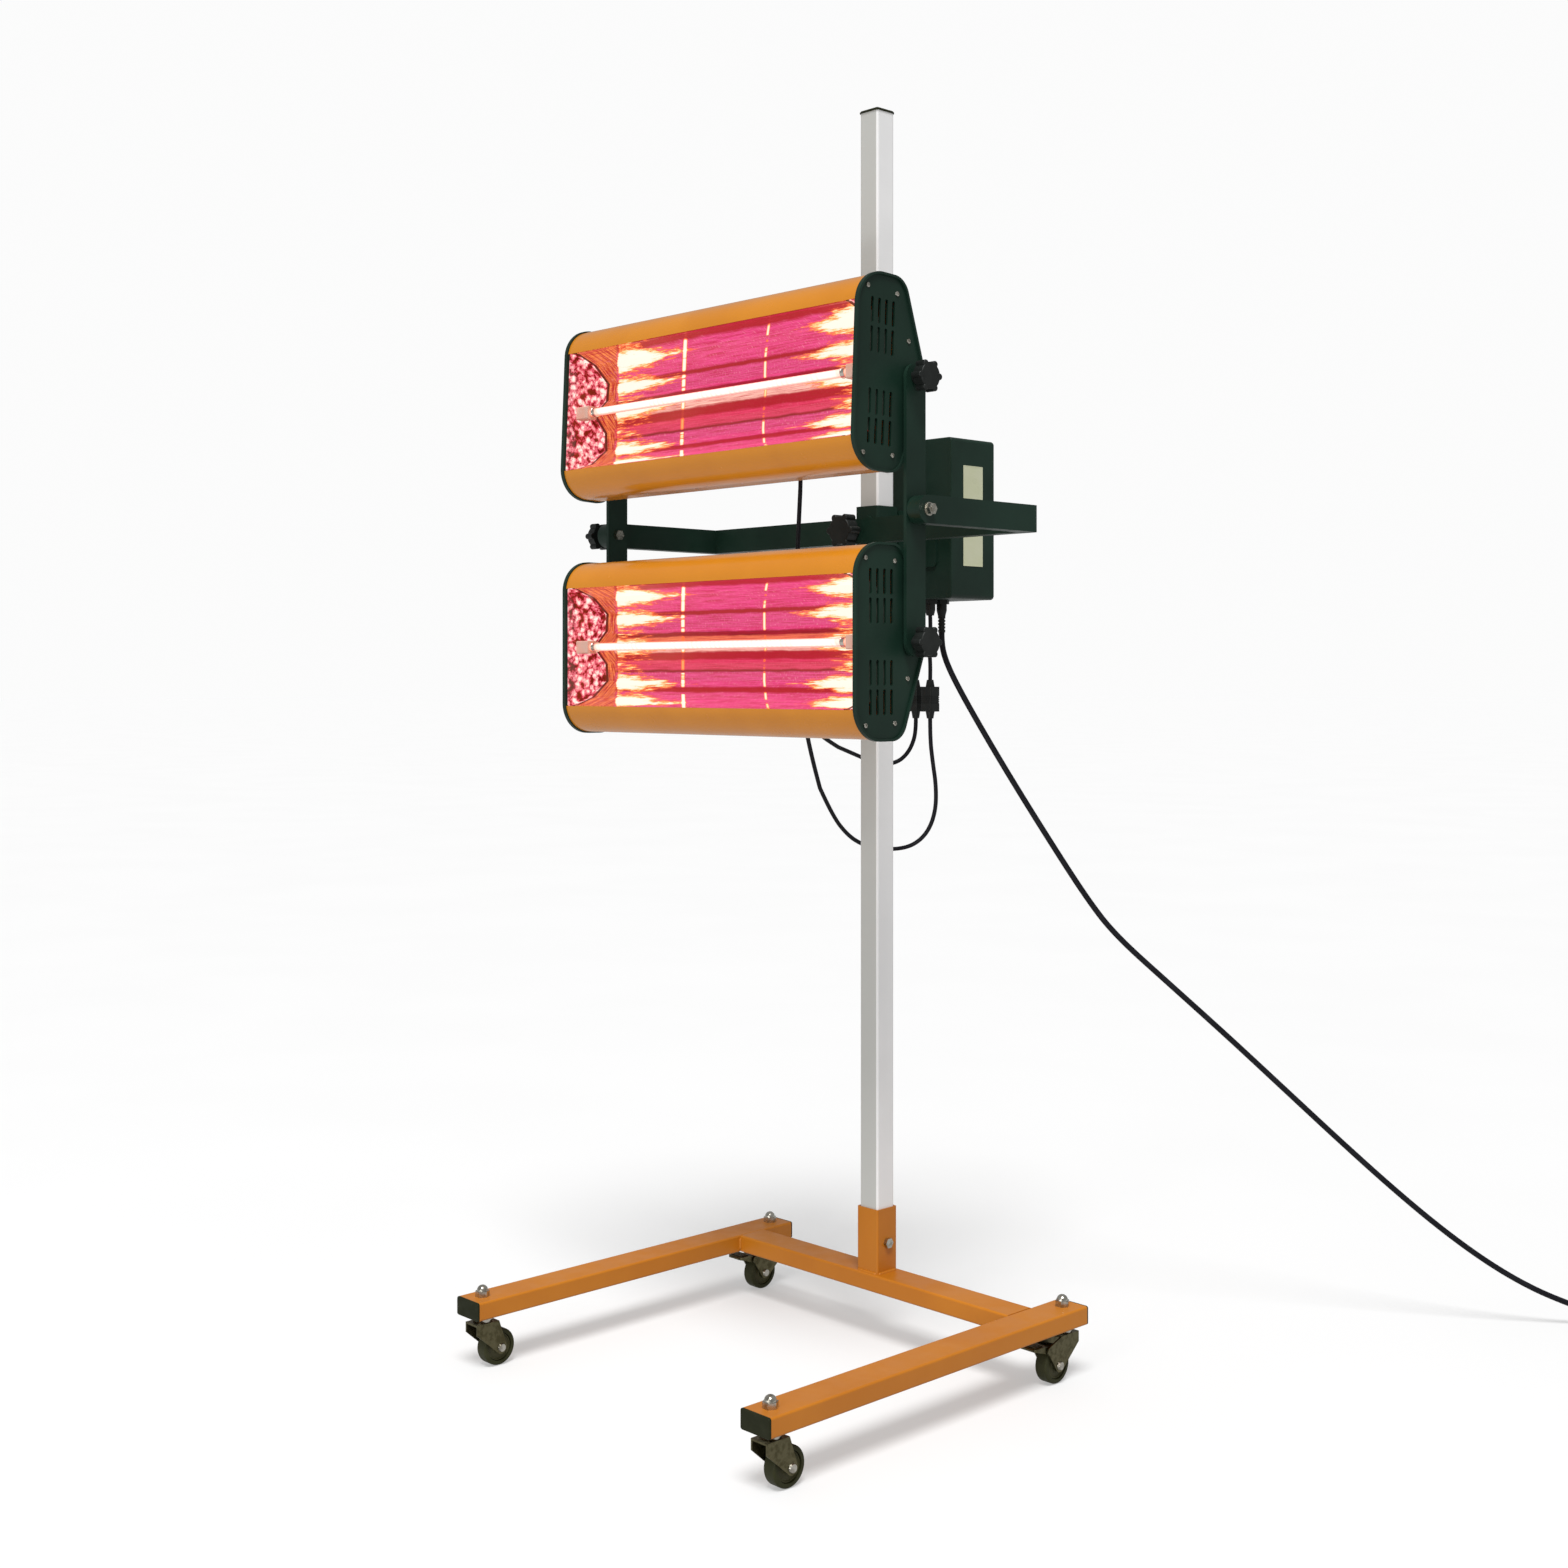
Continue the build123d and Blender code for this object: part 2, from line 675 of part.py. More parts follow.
# Big star knob that clamps the yoke and the carriage
yoke_back_y = pad_front_y - pad_play
yoke_front_y = yoke_back_y - yoke_thickness
with BuildPart() as carriage_knob:
    star_knob(
        Plane(origin=(0, yoke_front_y - knob_seat_play, head_height), x_dir=(1, 0, 0), z_dir=(0, -1, 0)),
        big_knob_diameter,
        big_knob_thickness,
        big_knob_stem_length,
        stud_diameter + 2 * bolt_play,
    )
carriage_knob.part.label = "carriage_knob"
export_step(carriage_knob.part, "parts/carriage_knob.step")

# Yoke: a U of tube whose legs reach forward to the middle pivots; the leg ends are solid
leg_end_y = pivot_y - yoke_height / 2
hollow_end_y = pivot_y + yoke_height / 2
with BuildPart() as yoke:
    with BuildSketch(Plane.XY.offset(head_height - yoke_height / 2)) as yoke_plan:
        with Locations((0, (yoke_back_y + leg_end_y) / 2)):
            Rectangle(2 * yoke_outer, yoke_back_y - leg_end_y)
        fillet(yoke_plan.vertices().group_by(Axis.Y)[-1], yoke_bend)
        with Locations((0, (yoke_front_y + leg_end_y) / 2)):
            Rectangle(2 * yoke_inner, yoke_front_y - leg_end_y, mode=Mode.SUBTRACT)
    extrude(amount=yoke_height)
    fillet(yoke.edges().filter_by(Axis.X).group_by(Axis.Y)[0], yoke_height * leg_round_share)
    with BuildSketch(Plane.XY.offset(head_height - yoke_height / 2 + yoke_wall)) as yoke_hollow:
        with Locations((0, (yoke_back_y - yoke_wall + hollow_end_y) / 2)):
            Rectangle(2 * (yoke_outer - yoke_wall), yoke_back_y - yoke_wall - hollow_end_y)
        fillet(yoke_hollow.vertices().group_by(Axis.Y)[-1], yoke_bend - yoke_wall)
        with Locations((0, (yoke_front_y + yoke_wall + hollow_end_y) / 2)):
            Rectangle(
                2 * (yoke_inner + yoke_wall),
                yoke_front_y + yoke_wall - hollow_end_y,
                mode=Mode.SUBTRACT,
            )
    extrude(amount=yoke_height - 2 * yoke_wall, mode=Mode.SUBTRACT)
    with BuildSketch(Plane.XZ.offset(-yoke_back_y)):
        with Locations((0, head_height)):
            Circle(stud_diameter / 2 + bolt_play)
    extrude(amount=yoke_thickness, mode=Mode.SUBTRACT)
    with BuildSketch(Plane.YZ):
        with Locations((pivot_y, head_height)):
            Circle(bolt_diameter / 2 + bolt_play)
    extrude(amount=yoke_outer, both=True, mode=Mode.SUBTRACT)
yoke.part.label = "yoke"
export_step(yoke.part, "parts/yoke.step")

# Flat arms between the yoke and the lamps, drilled for the three pivots
pivot_heights = (head_height + pivot_drop, head_height, head_height - pivot_drop)
with BuildPart() as left_arm:
    with BuildSketch(Plane.YZ.offset(-arm_inner)):
        with Locations((pivot_y, head_height)):
            SlotCenterToCenter(2 * pivot_drop, arm_width, rotation=90)
        with Locations([(pivot_y, z) for z in pivot_heights]):
            Circle(bolt_diameter / 2 + bolt_play, mode=Mode.SUBTRACT)
    extrude(amount=-arm_thickness)
left_arm.part.label = "left_arm"
export_step(left_arm.part, "parts/left_arm.step")

with BuildPart() as right_arm:
    with BuildSketch(Plane.YZ.offset(arm_inner)):
        with Locations((pivot_y, head_height)):
            SlotCenterToCenter(2 * pivot_drop, arm_width, rotation=90)
        with Locations([(pivot_y, z) for z in pivot_heights]):
            Circle(bolt_diameter / 2 + bolt_play, mode=Mode.SUBTRACT)
    extrude(amount=arm_thickness)
right_arm.part.label = "right_arm"
export_step(right_arm.part, "parts/right_arm.step")

# Bolts of the middle pivots: a nut and washer on the right, a knob's stud on the left
stud_in_knob = knob_seat_play + knob_stem_length + knob_thickness - knob_floor - cut_over
with BuildPart() as middle_bolts:
    with BuildSketch(Plane.YZ.offset(arm_inner)):
        with Locations((pivot_y, head_height)):
            RegularPolygon(bolt_head_width / 2, 6, major_radius=False)
    extrude(amount=-bolt_head_height)
    with BuildSketch(Plane.YZ.offset(arm_inner)):
        with Locations((pivot_y, head_height)):
            Circle(bolt_diameter / 2)
    extrude(amount=yoke_outer - arm_inner + washer_thickness + nut_height + cut_over)
    with BuildSketch(Plane.YZ.offset(yoke_outer)):
        with Locations((pivot_y, head_height)):
            Circle(washer_diameter / 2)
    extrude(amount=washer_thickness)
    with BuildSketch(Plane.YZ.offset(yoke_outer + washer_thickness)):
        with Locations((pivot_y, head_height)):
            RegularPolygon(bolt_head_width / 2, 6, major_radius=False)
    extrude(amount=nut_height)
    with BuildSketch(Plane.YZ.offset(-arm_inner)):
        with Locations((pivot_y, head_height)):
            RegularPolygon(bolt_head_width / 2, 6, major_radius=False)
    extrude(amount=bolt_head_height)
    with BuildSketch(Plane.YZ.offset(-arm_inner)):
        with Locations((pivot_y, head_height)):
            Circle(bolt_diameter / 2)
    extrude(amount=-(yoke_outer - arm_inner + stud_in_knob))
middle_bolts.part.label = "middle_bolts"
export_step(middle_bolts.part, "parts/middle_bolts.step")

with BuildPart() as frame_tilt_knob:
    star_knob(
        Plane(
            origin=(-(yoke_outer + knob_seat_play), pivot_y, head_height),
            x_dir=(0, 1, 0),
            z_dir=(-1, 0, 0),
        ),
        knob_diameter,
        knob_thickness,
        knob_stem_length,
        bolt_diameter + 2 * bolt_play,
    )
frame_tilt_knob.part.label = "frame_tilt_knob"
export_step(frame_tilt_knob.part, "parts/frame_tilt_knob.step")

# Studs and bolts that the two lamps tilt on, held in the arms
arm_outer = arm_inner + arm_thickness
lamp_pivots = [(pivot_y, pivot_heights[0]), (pivot_y, pivot_heights[2])]
inner_face = housing_length / 2 - side_play
with BuildPart() as lamp_pivot_studs:
    with BuildSketch(Plane.YZ.offset(inner_face)):
        with Locations(lamp_pivots):
            RegularPolygon(bolt_head_width / 2, 6, major_radius=False)
    extrude(amount=-bolt_head_height)
    with BuildSketch(Plane.YZ.offset(inner_face)):
        with Locations(lamp_pivots):
            Circle(bolt_diameter / 2)
    extrude(amount=arm_outer - inner_face + stud_in_knob)
    with BuildSketch(Plane.YZ.offset(-inner_face)):
        with Locations(lamp_pivots):
            RegularPolygon(bolt_head_width / 2, 6, major_radius=False)
    extrude(amount=nut_height)
    with BuildSketch(Plane.YZ.offset(-inner_face)):
        with Locations(lamp_pivots):
            Circle(bolt_diameter / 2)
    extrude(amount=-(arm_outer - inner_face))
    with BuildSketch(Plane.YZ.offset(-arm_outer)):
        with Locations(lamp_pivots):
            RegularPolygon(bolt_head_width / 2, 6, major_radius=False)
    extrude(amount=-bolt_head_height)
lamp_pivot_studs.part.label = "lamp_pivot_studs"
export_step(lamp_pivot_studs.part, "parts/lamp_pivot_studs.step")


def lamp_outline(grow, ear):
    """Draw a cassette's section grown all round, drawn out to its pivot ear if that has a radius."""
    front = -(housing_setback + lamp_depth - front_radius)
    back = -(housing_setback + back_radius)
    with Locations((front, lamp_height / 2 - front_radius), (front, front_radius - lamp_height / 2)):
        Circle(front_radius + grow)
    with Locations((back, lamp_height / 2 - back_radius), (back, back_radius - lamp_height / 2)):
        Circle(back_radius + grow)
    if ear > 0:
        Circle(ear)
    make_hull()


def across(seat, x):
    """Give the plane square to the lamp's pivot axis at that distance along it."""
    return Plane(seat * Plane.YZ.offset(x).location)


# Two lamp cassettes, each modelled round its pivot axis and leaned back from upright
mouth_front = -(housing_setback + lamp_depth)
quartz_y = mouth_front + quartz_setback_share * lamp_depth
reflector_half = housing_length / 2 - reflector_end_gap
holder_outer = reflector_half - reflector_sheet
facets = [
    (mouth_front + depth_share * lamp_depth, height_share * mouth_height)
    for depth_share, height_share in zip(reflector_depth_shares, reflector_height_shares)
]
lip_height = (mouth_height - reflector_sheet) / 2
half_section = [
    (mouth_front + lamp_wall, lip_height),
    (mouth_front + lamp_wall + reflector_lip, lip_height),
] + facets
reflector_section = half_section + [(y, -z) for y, z in reversed(half_section[:-1])]
lamps = {
    "upper": (head_height + pivot_drop, upper_lean),
    "lower": (head_height - pivot_drop, lower_lean),
}
for lamp, (lamp_z, lean) in lamps.items():
    seat = Location((0, pivot_y, lamp_z), (-lean, 0, 0))

    with BuildPart() as housing:
        with BuildSketch(across(seat, -housing_length / 2)):
            lamp_outline(0, 0)
            offset(amount=-lamp_wall, mode=Mode.SUBTRACT)
            with Locations((mouth_front, 0)):
                Rectangle(front_radius, mouth_height, mode=Mode.SUBTRACT)
            hem_y = mouth_front + (lamp_wall + hem_depth) / 2
            hem_z = (mouth_height + lamp_wall) / 2
            with Locations((hem_y, hem_z), (hem_y, -hem_z)):
                Rectangle(hem_depth, lamp_wall)
        extrude(amount=housing_length)
    housing.part.label = f"{lamp}_housing"
    export_step(housing.part, f"parts/{lamp}_housing.step")

    for hand, side in (("left", -1), ("right", 1)):
        with BuildPart() as end_plate:
            with BuildSketch(across(seat, side * housing_length / 2)):
                lamp_outline(rim_overhang, ear_radius)
            extrude(amount=side * rim_height)
            with BuildSketch(across(seat, side * (housing_length / 2 + plate_thickness))):
                lamp_outline(rim_overhang - rim_thickness, ear_radius - rim_thickness)
                Circle(ear_boss_diameter / 2, mode=Mode.SUBTRACT)
            extrude(amount=side * rim_height, mode=Mode.SUBTRACT)
            with BuildSketch(across(seat, side * housing_length / 2)):
                with Locations((-vent_setback, vent_group_height), (-vent_setback, -vent_group_height)):
                    with GridLocations(vent_pitch, vent_row_pitch, vent_columns, 2):
                        SlotOverall(vent_length, vent_width, rotation=90)
                Circle(bolt_diameter / 2 + bolt_play)
            extrude(amount=side * rim_height, mode=Mode.SUBTRACT)
        end_plate.part.label = f"{lamp}_{hand}_end_plate"
        export_step(end_plate.part, f"parts/{lamp}_{hand}_end_plate.step")

    with BuildPart() as reflector:
        with BuildSketch(across(seat, -reflector_half)):
            with BuildLine():
                Polyline(*reflector_section)
            trace(line_width=reflector_sheet)
        extrude(amount=2 * reflector_half)
        for side in (-1, 1):
            with BuildSketch(across(seat, side * reflector_half)):
                with BuildLine():
                    Polyline(*reflector_section, close=True)
                make_face()
                scallop_y = mouth_front + lamp_wall + scallop_depth - scallop_radius
                with Locations((scallop_y, mouth_height / 4), (scallop_y, -mouth_height / 4)):
                    Circle(scallop_radius, mode=Mode.SUBTRACT)
            extrude(amount=-side * reflector_sheet)
    reflector.part.label = f"{lamp}_reflector"
    export_step(reflector.part, f"parts/{lamp}_reflector.step")

    with BuildPart() as tube_holders:
        for side in (-1, 1):
            with BuildSketch(across(seat, side * holder_outer)):
                with Locations((quartz_y, 0)):
                    RectangleRounded(holder_depth, holder_height, holder_corner)
                    Circle(quartz_diameter / 2 + holder_play, mode=Mode.SUBTRACT)
            extrude(amount=-side * holder_length)
    tube_holders.part.label = f"{lamp}_tube_holders"
    export_step(tube_holders.part, f"parts/{lamp}_tube_holders.step")

    with BuildPart() as quartz_tube:
        with BuildSketch(across(seat, 0)):
            with Locations((quartz_y, 0)):
                Circle(quartz_diameter / 2)
        extrude(amount=holder_outer - holder_length + pinch_length, both=True)
    quartz_tube.part.label = f"{lamp}_quartz_tube"
    export_step(quartz_tube.part, f"parts/{lamp}_quartz_tube.step")

    with BuildPart() as lamp_gland:
        back_plane = Plane(seat * Plane.XZ.offset(housing_setback).location)
        gland_axis = (lamp_gland_x[lamp], 0)
        with BuildSketch(back_plane):
            with Locations(gland_axis):
                RegularPolygon(lamp_gland_width / 2, 6, major_radius=False)
        extrude(amount=-lamp_gland_nut)
        with BuildSketch(back_plane.offset(-lamp_gland_nut)):
            with Locations(gland_axis):
                Circle(lamp_gland_body_diameter / 2)
        extrude(amount=-lamp_gland_body_length)
        with BuildSketch(back_plane.offset(-(lamp_gland_nut + lamp_gland_body_length))):
            with Locations(gland_axis):
                Circle(lamp_gland_body_diameter / 2)
        extrude(amount=-lamp_gland_dome_length, taper=edge_taper)
    lamp_gland.part.label = f"{lamp}_lamp_gland"
    export_step(lamp_gland.part, f"parts/{lamp}_lamp_gland.step")

    with BuildPart() as lamp_knob:
        star_knob(
            Plane(origin=(arm_outer + knob_seat_play, pivot_y, lamp_z), x_dir=(0, 1, 0), z_dir=(1, 0, 0)),
            knob_diameter,
            knob_thickness,
            knob_stem_length,
            bolt_diameter + 2 * bolt_play,
        )
    lamp_knob.part.label = f"{lamp}_lamp_knob"
    export_step(lamp_knob.part, f"parts/{lamp}_lamp_knob.step")

# Short lead tails that hang from the box, and the in-line connectors on their ends
lead_spots = [(x, lead_gland_y) for x in lead_gland_x.values()]
connector_top = gland_bottom - lead_tail_length
with BuildPart() as lead_tails:
    with BuildSketch(Plane.XY.offset(connector_top)):
        with Locations(lead_spots):
            Circle(lead_diameter / 2)
    extrude(amount=lead_tail_length)
lead_tails.part.label = "lead_tails"
export_step(lead_tails.part, "parts/lead_tails.step")

connector_middle = connector_top - connector_neck_length - connector_height / 2
connector_bottom = connector_top - 2 * connector_neck_length - connector_height
neck_step = (connector_neck_diameter - lead_diameter) / 2
neck_taper = degrees(atan(neck_step / connector_neck_length)) / 2
with BuildPart() as lead_connectors:
    with BuildSketch(Plane.XY.offset(connector_middle)):
        with Locations(lead_spots):
            RectangleRounded(connector_width, connector_depth, connector_corner)
    extrude(amount=connector_height / 2, both=True)
    for grip in range(connector_grips):
        grip_z = connector_middle + (grip - connector_grips / 2) * connector_grip_gap
        with BuildSketch(Plane.XY.offset(grip_z)):
            with Locations(lead_spots):
                RectangleRounded(connector_width, connector_depth, connector_corner)
                offset(amount=-connector_grip_depth, mode=Mode.SUBTRACT)
        extrude(amount=connector_grip_gap / 2, mode=Mode.SUBTRACT)
    upper_neck = (connector_top - connector_neck_length, 1)
    lower_neck = (connector_bottom + connector_neck_length, -1)
    for neck_z, way in (upper_neck, lower_neck):
        with BuildSketch(Plane.XY.offset(neck_z)):
            with Locations(lead_spots):
                Circle(connector_neck_diameter / 2)
        extrude(amount=way * connector_neck_length, taper=neck_taper)
lead_connectors.part.label = "lead_connectors"
export_step(lead_connectors.part, "parts/lead_connectors.step")


def bend_radii(route):
    """Give each corner of a route an arc as large as its two runs allow."""
    points = [Vector(point) for point in route]
    runs = [end - start for start, end in zip(points, points[1:])]
    return [
        arc_share * min(before.length, after.length) / tan(radians(before.get_angle(after)) / 2)
        for before, after in zip(runs, runs[1:])
    ]


def report_tube(name, part, path, diameter):
    """Print a tube's length, and its volume as a share of its section times that length."""
    section = pi * diameter**2 / 4
    print(f"{name}: {path.length:.0f} long, volume share {part.volume / (section * path.length):.4f}")


# Free cords, each a smooth tube along route points chosen by hand
cord_routes = {
    "upper_lamp_cord": [
        (32, -60.506, 1313.738),
        (32, -41, 1312.887),
        (32.3, -23.5, 1302.5),
        (33, -13.3, 1283.5),
        (33.6, -10, 1252),
        (34, -12.5, 1195),
        (33, -16.5, 1120),
        (29, -15.5, 1041),
        (21, -4.5, 968),
        (9, 16.5, 900),
        (-5, 44.5, 840),
        (-18, 76.5, 788),
        (-28, 111.5, 747),
        (-34.5, 147.5, 718),
        (-36.5, 179.5, 702),
        (-29, 207.5, 695),
        (-7, 224.5, 694),
        (18, 234.5, 702),
        (37, 242.5, 722),
        (44.5, 249.5, 752),
        (42, 253, 787),
        (34.5, 253.8, 822),
        (30, 253.5, 854),
        (30, 253.5, 884),
    ],
    "lower_lamp_cord": [
        (-16, -60.5, 986),
        (-16, -42.5, 986),
        (-16.3, -26, 979),
        (-17.3, -11.5, 963.5),
        (-19, 6.5, 936.5),
        (-21, 40.5, 892),
        (-24, 80.5, 862),
        (-28, 123.5, 844),
        (-31.5, 163, 832),
        (-30.5, 192, 822),
        (-25, 215, 817),
        (-15.5, 234, 820),
        (-7, 246, 833),
        (-1.2, 252, 850),
        (2, 253.5, 868),
        (2, 253.5, 884),
    ],
    "mains_cord": [
        (30, 278.5, 1009),
        (30, 278.5, 992),
        (33.5, 282.1, 970.5),
        (41.7, 290.8, 943),
        (59, 308.9, 896.5),
        (92.2, 343.6, 814),
        (133.6, 386.9, 717),
        (178.6, 433.9, 616),
        (206.2, 462.9, 566),
        (258, 517.1, 498.5),
        (316.8, 578.6, 422),
        (375.5, 640, 343),
        (432.1, 699.3, 266.7),
        (486, 755.7, 196.5),
        (535.8, 807.7, 136.7),
        (581.4, 855.5, 89.2),
        (621.5, 897.4, 55.6),
        (656, 933.5, 34.1),
        (686.4, 965.3, 19.1),
        (711.3, 991.4, 10.5),
        (734.8, 1015.9, 4.25),
        (747.2, 1029, 4.25),
    ],
}
for name, route in cord_routes.items():
    diameter = mains_diameter if name == "mains_cord" else lead_diameter
    radii = bend_radii(route)
    with BuildPart() as cord:
        with BuildLine() as cord_path:
            FilletPolyline(*route, radius=radii)
        with BuildSketch(Plane(origin=cord_path.line @ 0, z_dir=cord_path.line % 0)):
            Circle(diameter / 2)
        sweep()
    cord.part.label = name
    export_step(cord.part, f"parts/{name}.step")
    report_tube(name, cord.part, cord_path.wire(), diameter)
    print(name, "bend radii", [round(radius) for radius in radii])

# Put-away coil of the mains cord: it spirals in on the floor and out again on top
coil_start, run_before = [Vector(point) for point in cord_routes["mains_cord"][-1:-3:-1]]
heading = (coil_start - run_before).normalized()
inward = heading.cross(Vector(0, 0, 1))
coil_pitch = mains_diameter + coil_gap
half_turns = coil_turns / 2
coil_outer = coil_middle_radius + coil_pitch * half_turns / 2
coil_centre = coil_start + heading * mains_diameter + inward * coil_outer
plug_rise = plug_body_diameter / 2 - mains_diameter / 2 - coil_pitch


def coil_point(turn):
    """Give the place on the coil's centre line after so many turns."""
    radius = coil_outer - coil_pitch * (half_turns - abs(turn - half_turns))
    climb = min(max(2 * (turn - half_turns) + 1 / 2, 0), 1)
    outwards = heading * sin(2 * pi * turn) - inward * cos(2 * pi * turn)
    return coil_centre + outwards * radius + Vector(0, 0, climb * coil_pitch)


def coil_heading(turn):
    """Give the direction of the coil's centre line after so many turns."""
    step = 1 / 1000
    return (coil_point(turn + step) - coil_point(turn - step)).normalized()


turns = [quarter / 4 for quarter in range(1, round(4 * coil_turns))]
coil_end = coil_point(coil_turns) + inward * coil_end_flare + Vector(0, 0, plug_rise)
spots = [coil_start + heading * mains_diameter] + [coil_point(turn) for turn in turns] + [coil_end]
ways = [heading] + [coil_heading(turn) for turn in turns] + [heading * -1]
with BuildPart() as mains_coil:
    with BuildLine() as coil_path:
        Line(coil_start, spots[0])
        for spot, next_spot, way, next_way in zip(spots, spots[1:], ways, ways[1:]):
            gap = next_spot - spot
            both_ways = way + next_way
            spread = 2 * (1 - way.dot(next_way))
            drop = gap.dot(both_ways)
            reach = (sqrt(drop**2 + spread * gap.dot(gap)) - drop) / spread
            joint = (spot + way * reach + next_spot - next_way * reach) / 2
            TangentArc(spot, joint, tangent=way)
            TangentArc(next_spot, joint, tangent=next_way * -1)
        Line(coil_end, coil_end - heading * mains_diameter)
    with BuildSketch(Plane(origin=coil_start, z_dir=heading)):
        Circle(mains_diameter / 2)
    sweep(path=coil_path.wire())
mains_coil.part.label = "mains_coil"
export_step(mains_coil.part, "parts/mains_coil.step")
report_tube("mains_coil", mains_coil.part, coil_path.wire(), mains_diameter)
coil_wire = coil_path.wire()
samples = [coil_wire @ (i / 1500) for i in range(1501)]
half_turn_samples = round(1500 / coil_turns / 2)
least_gap = min(
    (a - b).length
    for i, a in enumerate(samples)
    for b in samples[i + half_turn_samples :]
)
print(f"mains_coil: least gap to itself {least_gap - mains_diameter:.2f}")

# Round two-pin plug that lies beside the coil
plug_way = heading * -1
plug_start = coil_end + plug_way * mains_diameter
waist_end = plug_relief_length + (plug_body_length - plug_face_depth) / 3
body_start = plug_relief_length + plug_body_length - plug_face_depth
plug_end = plug_relief_length + plug_body_length
with BuildPart() as mains_plug:
    with BuildSketch(Plane(origin=plug_start, x_dir=plug_way, z_dir=inward)):
        with BuildLine():
            Polyline(
                (0, 0),
                (0, relief_tip_diameter / 2),
                (plug_relief_length, plug_relief_diameter / 2),
                (plug_relief_length, plug_waist_diameter / 2),
                (waist_end, plug_waist_diameter / 2),
                (body_start, plug_body_diameter / 2),
                (plug_end, plug_body_diameter / 2),
                (plug_end, 0),
                close=True,
            )
        make_face()
    revolve(axis=Axis(plug_start, plug_way))
    fillet(mains_plug.edges().filter_by(GeomType.CIRCLE).group_by(SortBy.RADIUS)[-1], plug_edge)
    with BuildSketch(Plane(origin=plug_start + plug_way * plug_end, x_dir=(0, 0, 1), z_dir=plug_way)):
        with GridLocations(0, plug_pin_spacing, 1, 2):
            Circle(plug_pin_diameter / 2)
    extrude(amount=plug_pin_length)
    fillet(mains_plug.edges().group_by(Axis(plug_start, plug_way))[-1], plug_pin_diameter / 4)
mains_plug.part.label = "mains_plug"
export_step(mains_plug.part, "parts/mains_plug.step")
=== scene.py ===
"""Looks of the infrared paint curing lamp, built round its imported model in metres."""

import logging
from contextlib import contextmanager
from dataclasses import dataclass
from enum import Enum
from math import cos, pi, radians, sin
from typing import Callable, Iterator, Protocol, Sequence

import bmesh
import bpy
from mathutils import Euler, Matrix, Vector


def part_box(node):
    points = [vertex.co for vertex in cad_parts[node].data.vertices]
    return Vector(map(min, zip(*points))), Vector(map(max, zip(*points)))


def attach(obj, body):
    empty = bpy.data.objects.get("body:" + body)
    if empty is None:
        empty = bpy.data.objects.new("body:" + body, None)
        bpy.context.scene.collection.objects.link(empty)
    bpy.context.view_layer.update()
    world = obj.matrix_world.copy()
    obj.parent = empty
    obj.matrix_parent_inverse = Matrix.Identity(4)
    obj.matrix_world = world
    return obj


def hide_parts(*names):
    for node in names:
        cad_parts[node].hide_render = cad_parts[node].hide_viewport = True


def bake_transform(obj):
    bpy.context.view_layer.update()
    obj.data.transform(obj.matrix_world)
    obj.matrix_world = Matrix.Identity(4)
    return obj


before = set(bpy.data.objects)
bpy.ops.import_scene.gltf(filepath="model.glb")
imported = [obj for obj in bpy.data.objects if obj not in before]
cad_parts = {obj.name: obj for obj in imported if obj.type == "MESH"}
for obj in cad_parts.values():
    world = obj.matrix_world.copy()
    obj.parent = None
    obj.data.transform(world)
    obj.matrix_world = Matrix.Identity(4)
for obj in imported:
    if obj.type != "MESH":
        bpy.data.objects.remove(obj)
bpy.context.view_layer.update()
log = logging.getLogger("curing_lamp")

Colour = tuple[float, float, float]
Point = tuple[float, float, float]
Socket = bpy.types.NodeSocket
FaceTest = Callable[[bmesh.types.BMFace], bool]

# Along Y in metres: the post's middle, the lamps' pivot axis, and from that axis the cassettes' mouth
POST_Y = 0.1735
PIVOT_Y = -0.0665
MOUTH_Y = -0.099

SAME_PLACE = 1e-6
STRAIGHT_ON = 0.99
NOISE_RANGE = (0.3, 0.7)


class Side(Enum):
    """The two ends of the head, along X."""

    LEFT = -1
    RIGHT = 1


class Lamp(Enum):
    """The two cassettes: height of the pivot axis and lean back in degrees."""

    UPPER = (1.314, 2.5)
    LOWER = (0.986, 0.0)

    @property
    def word(self) -> str:
        """Return the cassette's word in node and body names."""
        return self.name.lower()

    @property
    def pivot(self) -> Vector:
        """Return the middle of the cassette's pivot axis."""
        return Vector((0.0, PIVOT_Y, self.value[0]))

    @property
    def lean(self) -> float:
        """Return how far the cassette leans back, in radians."""
        return radians(self.value[1])

    @property
    def seat(self) -> Matrix:
        """Return the move from the cassette's own place to the frame."""
        return Matrix.Translation(self.pivot) @ Matrix.Rotation(-self.lean, 4, "X")


# Modelling by hand


def deselect() -> None:
    """Leave edit mode and clear the selection."""
    if bpy.context.object and bpy.context.object.mode != "OBJECT":
        bpy.ops.object.mode_set(mode="OBJECT")
    bpy.ops.object.select_all(action="DESELECT")


def take(piece: bpy.types.Object) -> None:
    """Make one object the only selected and active one.

    Args:
        piece: The object to take.
    """
    deselect()
    piece.select_set(True)
    bpy.context.view_layer.objects.active = piece


@contextmanager
def editing(piece: bpy.types.Object, mode: str = "FACE") -> Iterator[bmesh.types.BMesh]:
    """Edit a mesh with nothing selected.

    Args:
        piece: The object to edit.
        mode: What is selected: VERT, EDGE or FACE.

    Returns:
        The mesh under edit.
    """
    take(piece)
    bpy.ops.object.mode_set(mode="EDIT")
    bpy.ops.mesh.select_mode(type=mode)
    bpy.ops.mesh.select_all(action="DESELECT")
    yield bmesh.from_edit_mesh(piece.data)
    bpy.ops.object.mode_set(mode="OBJECT")


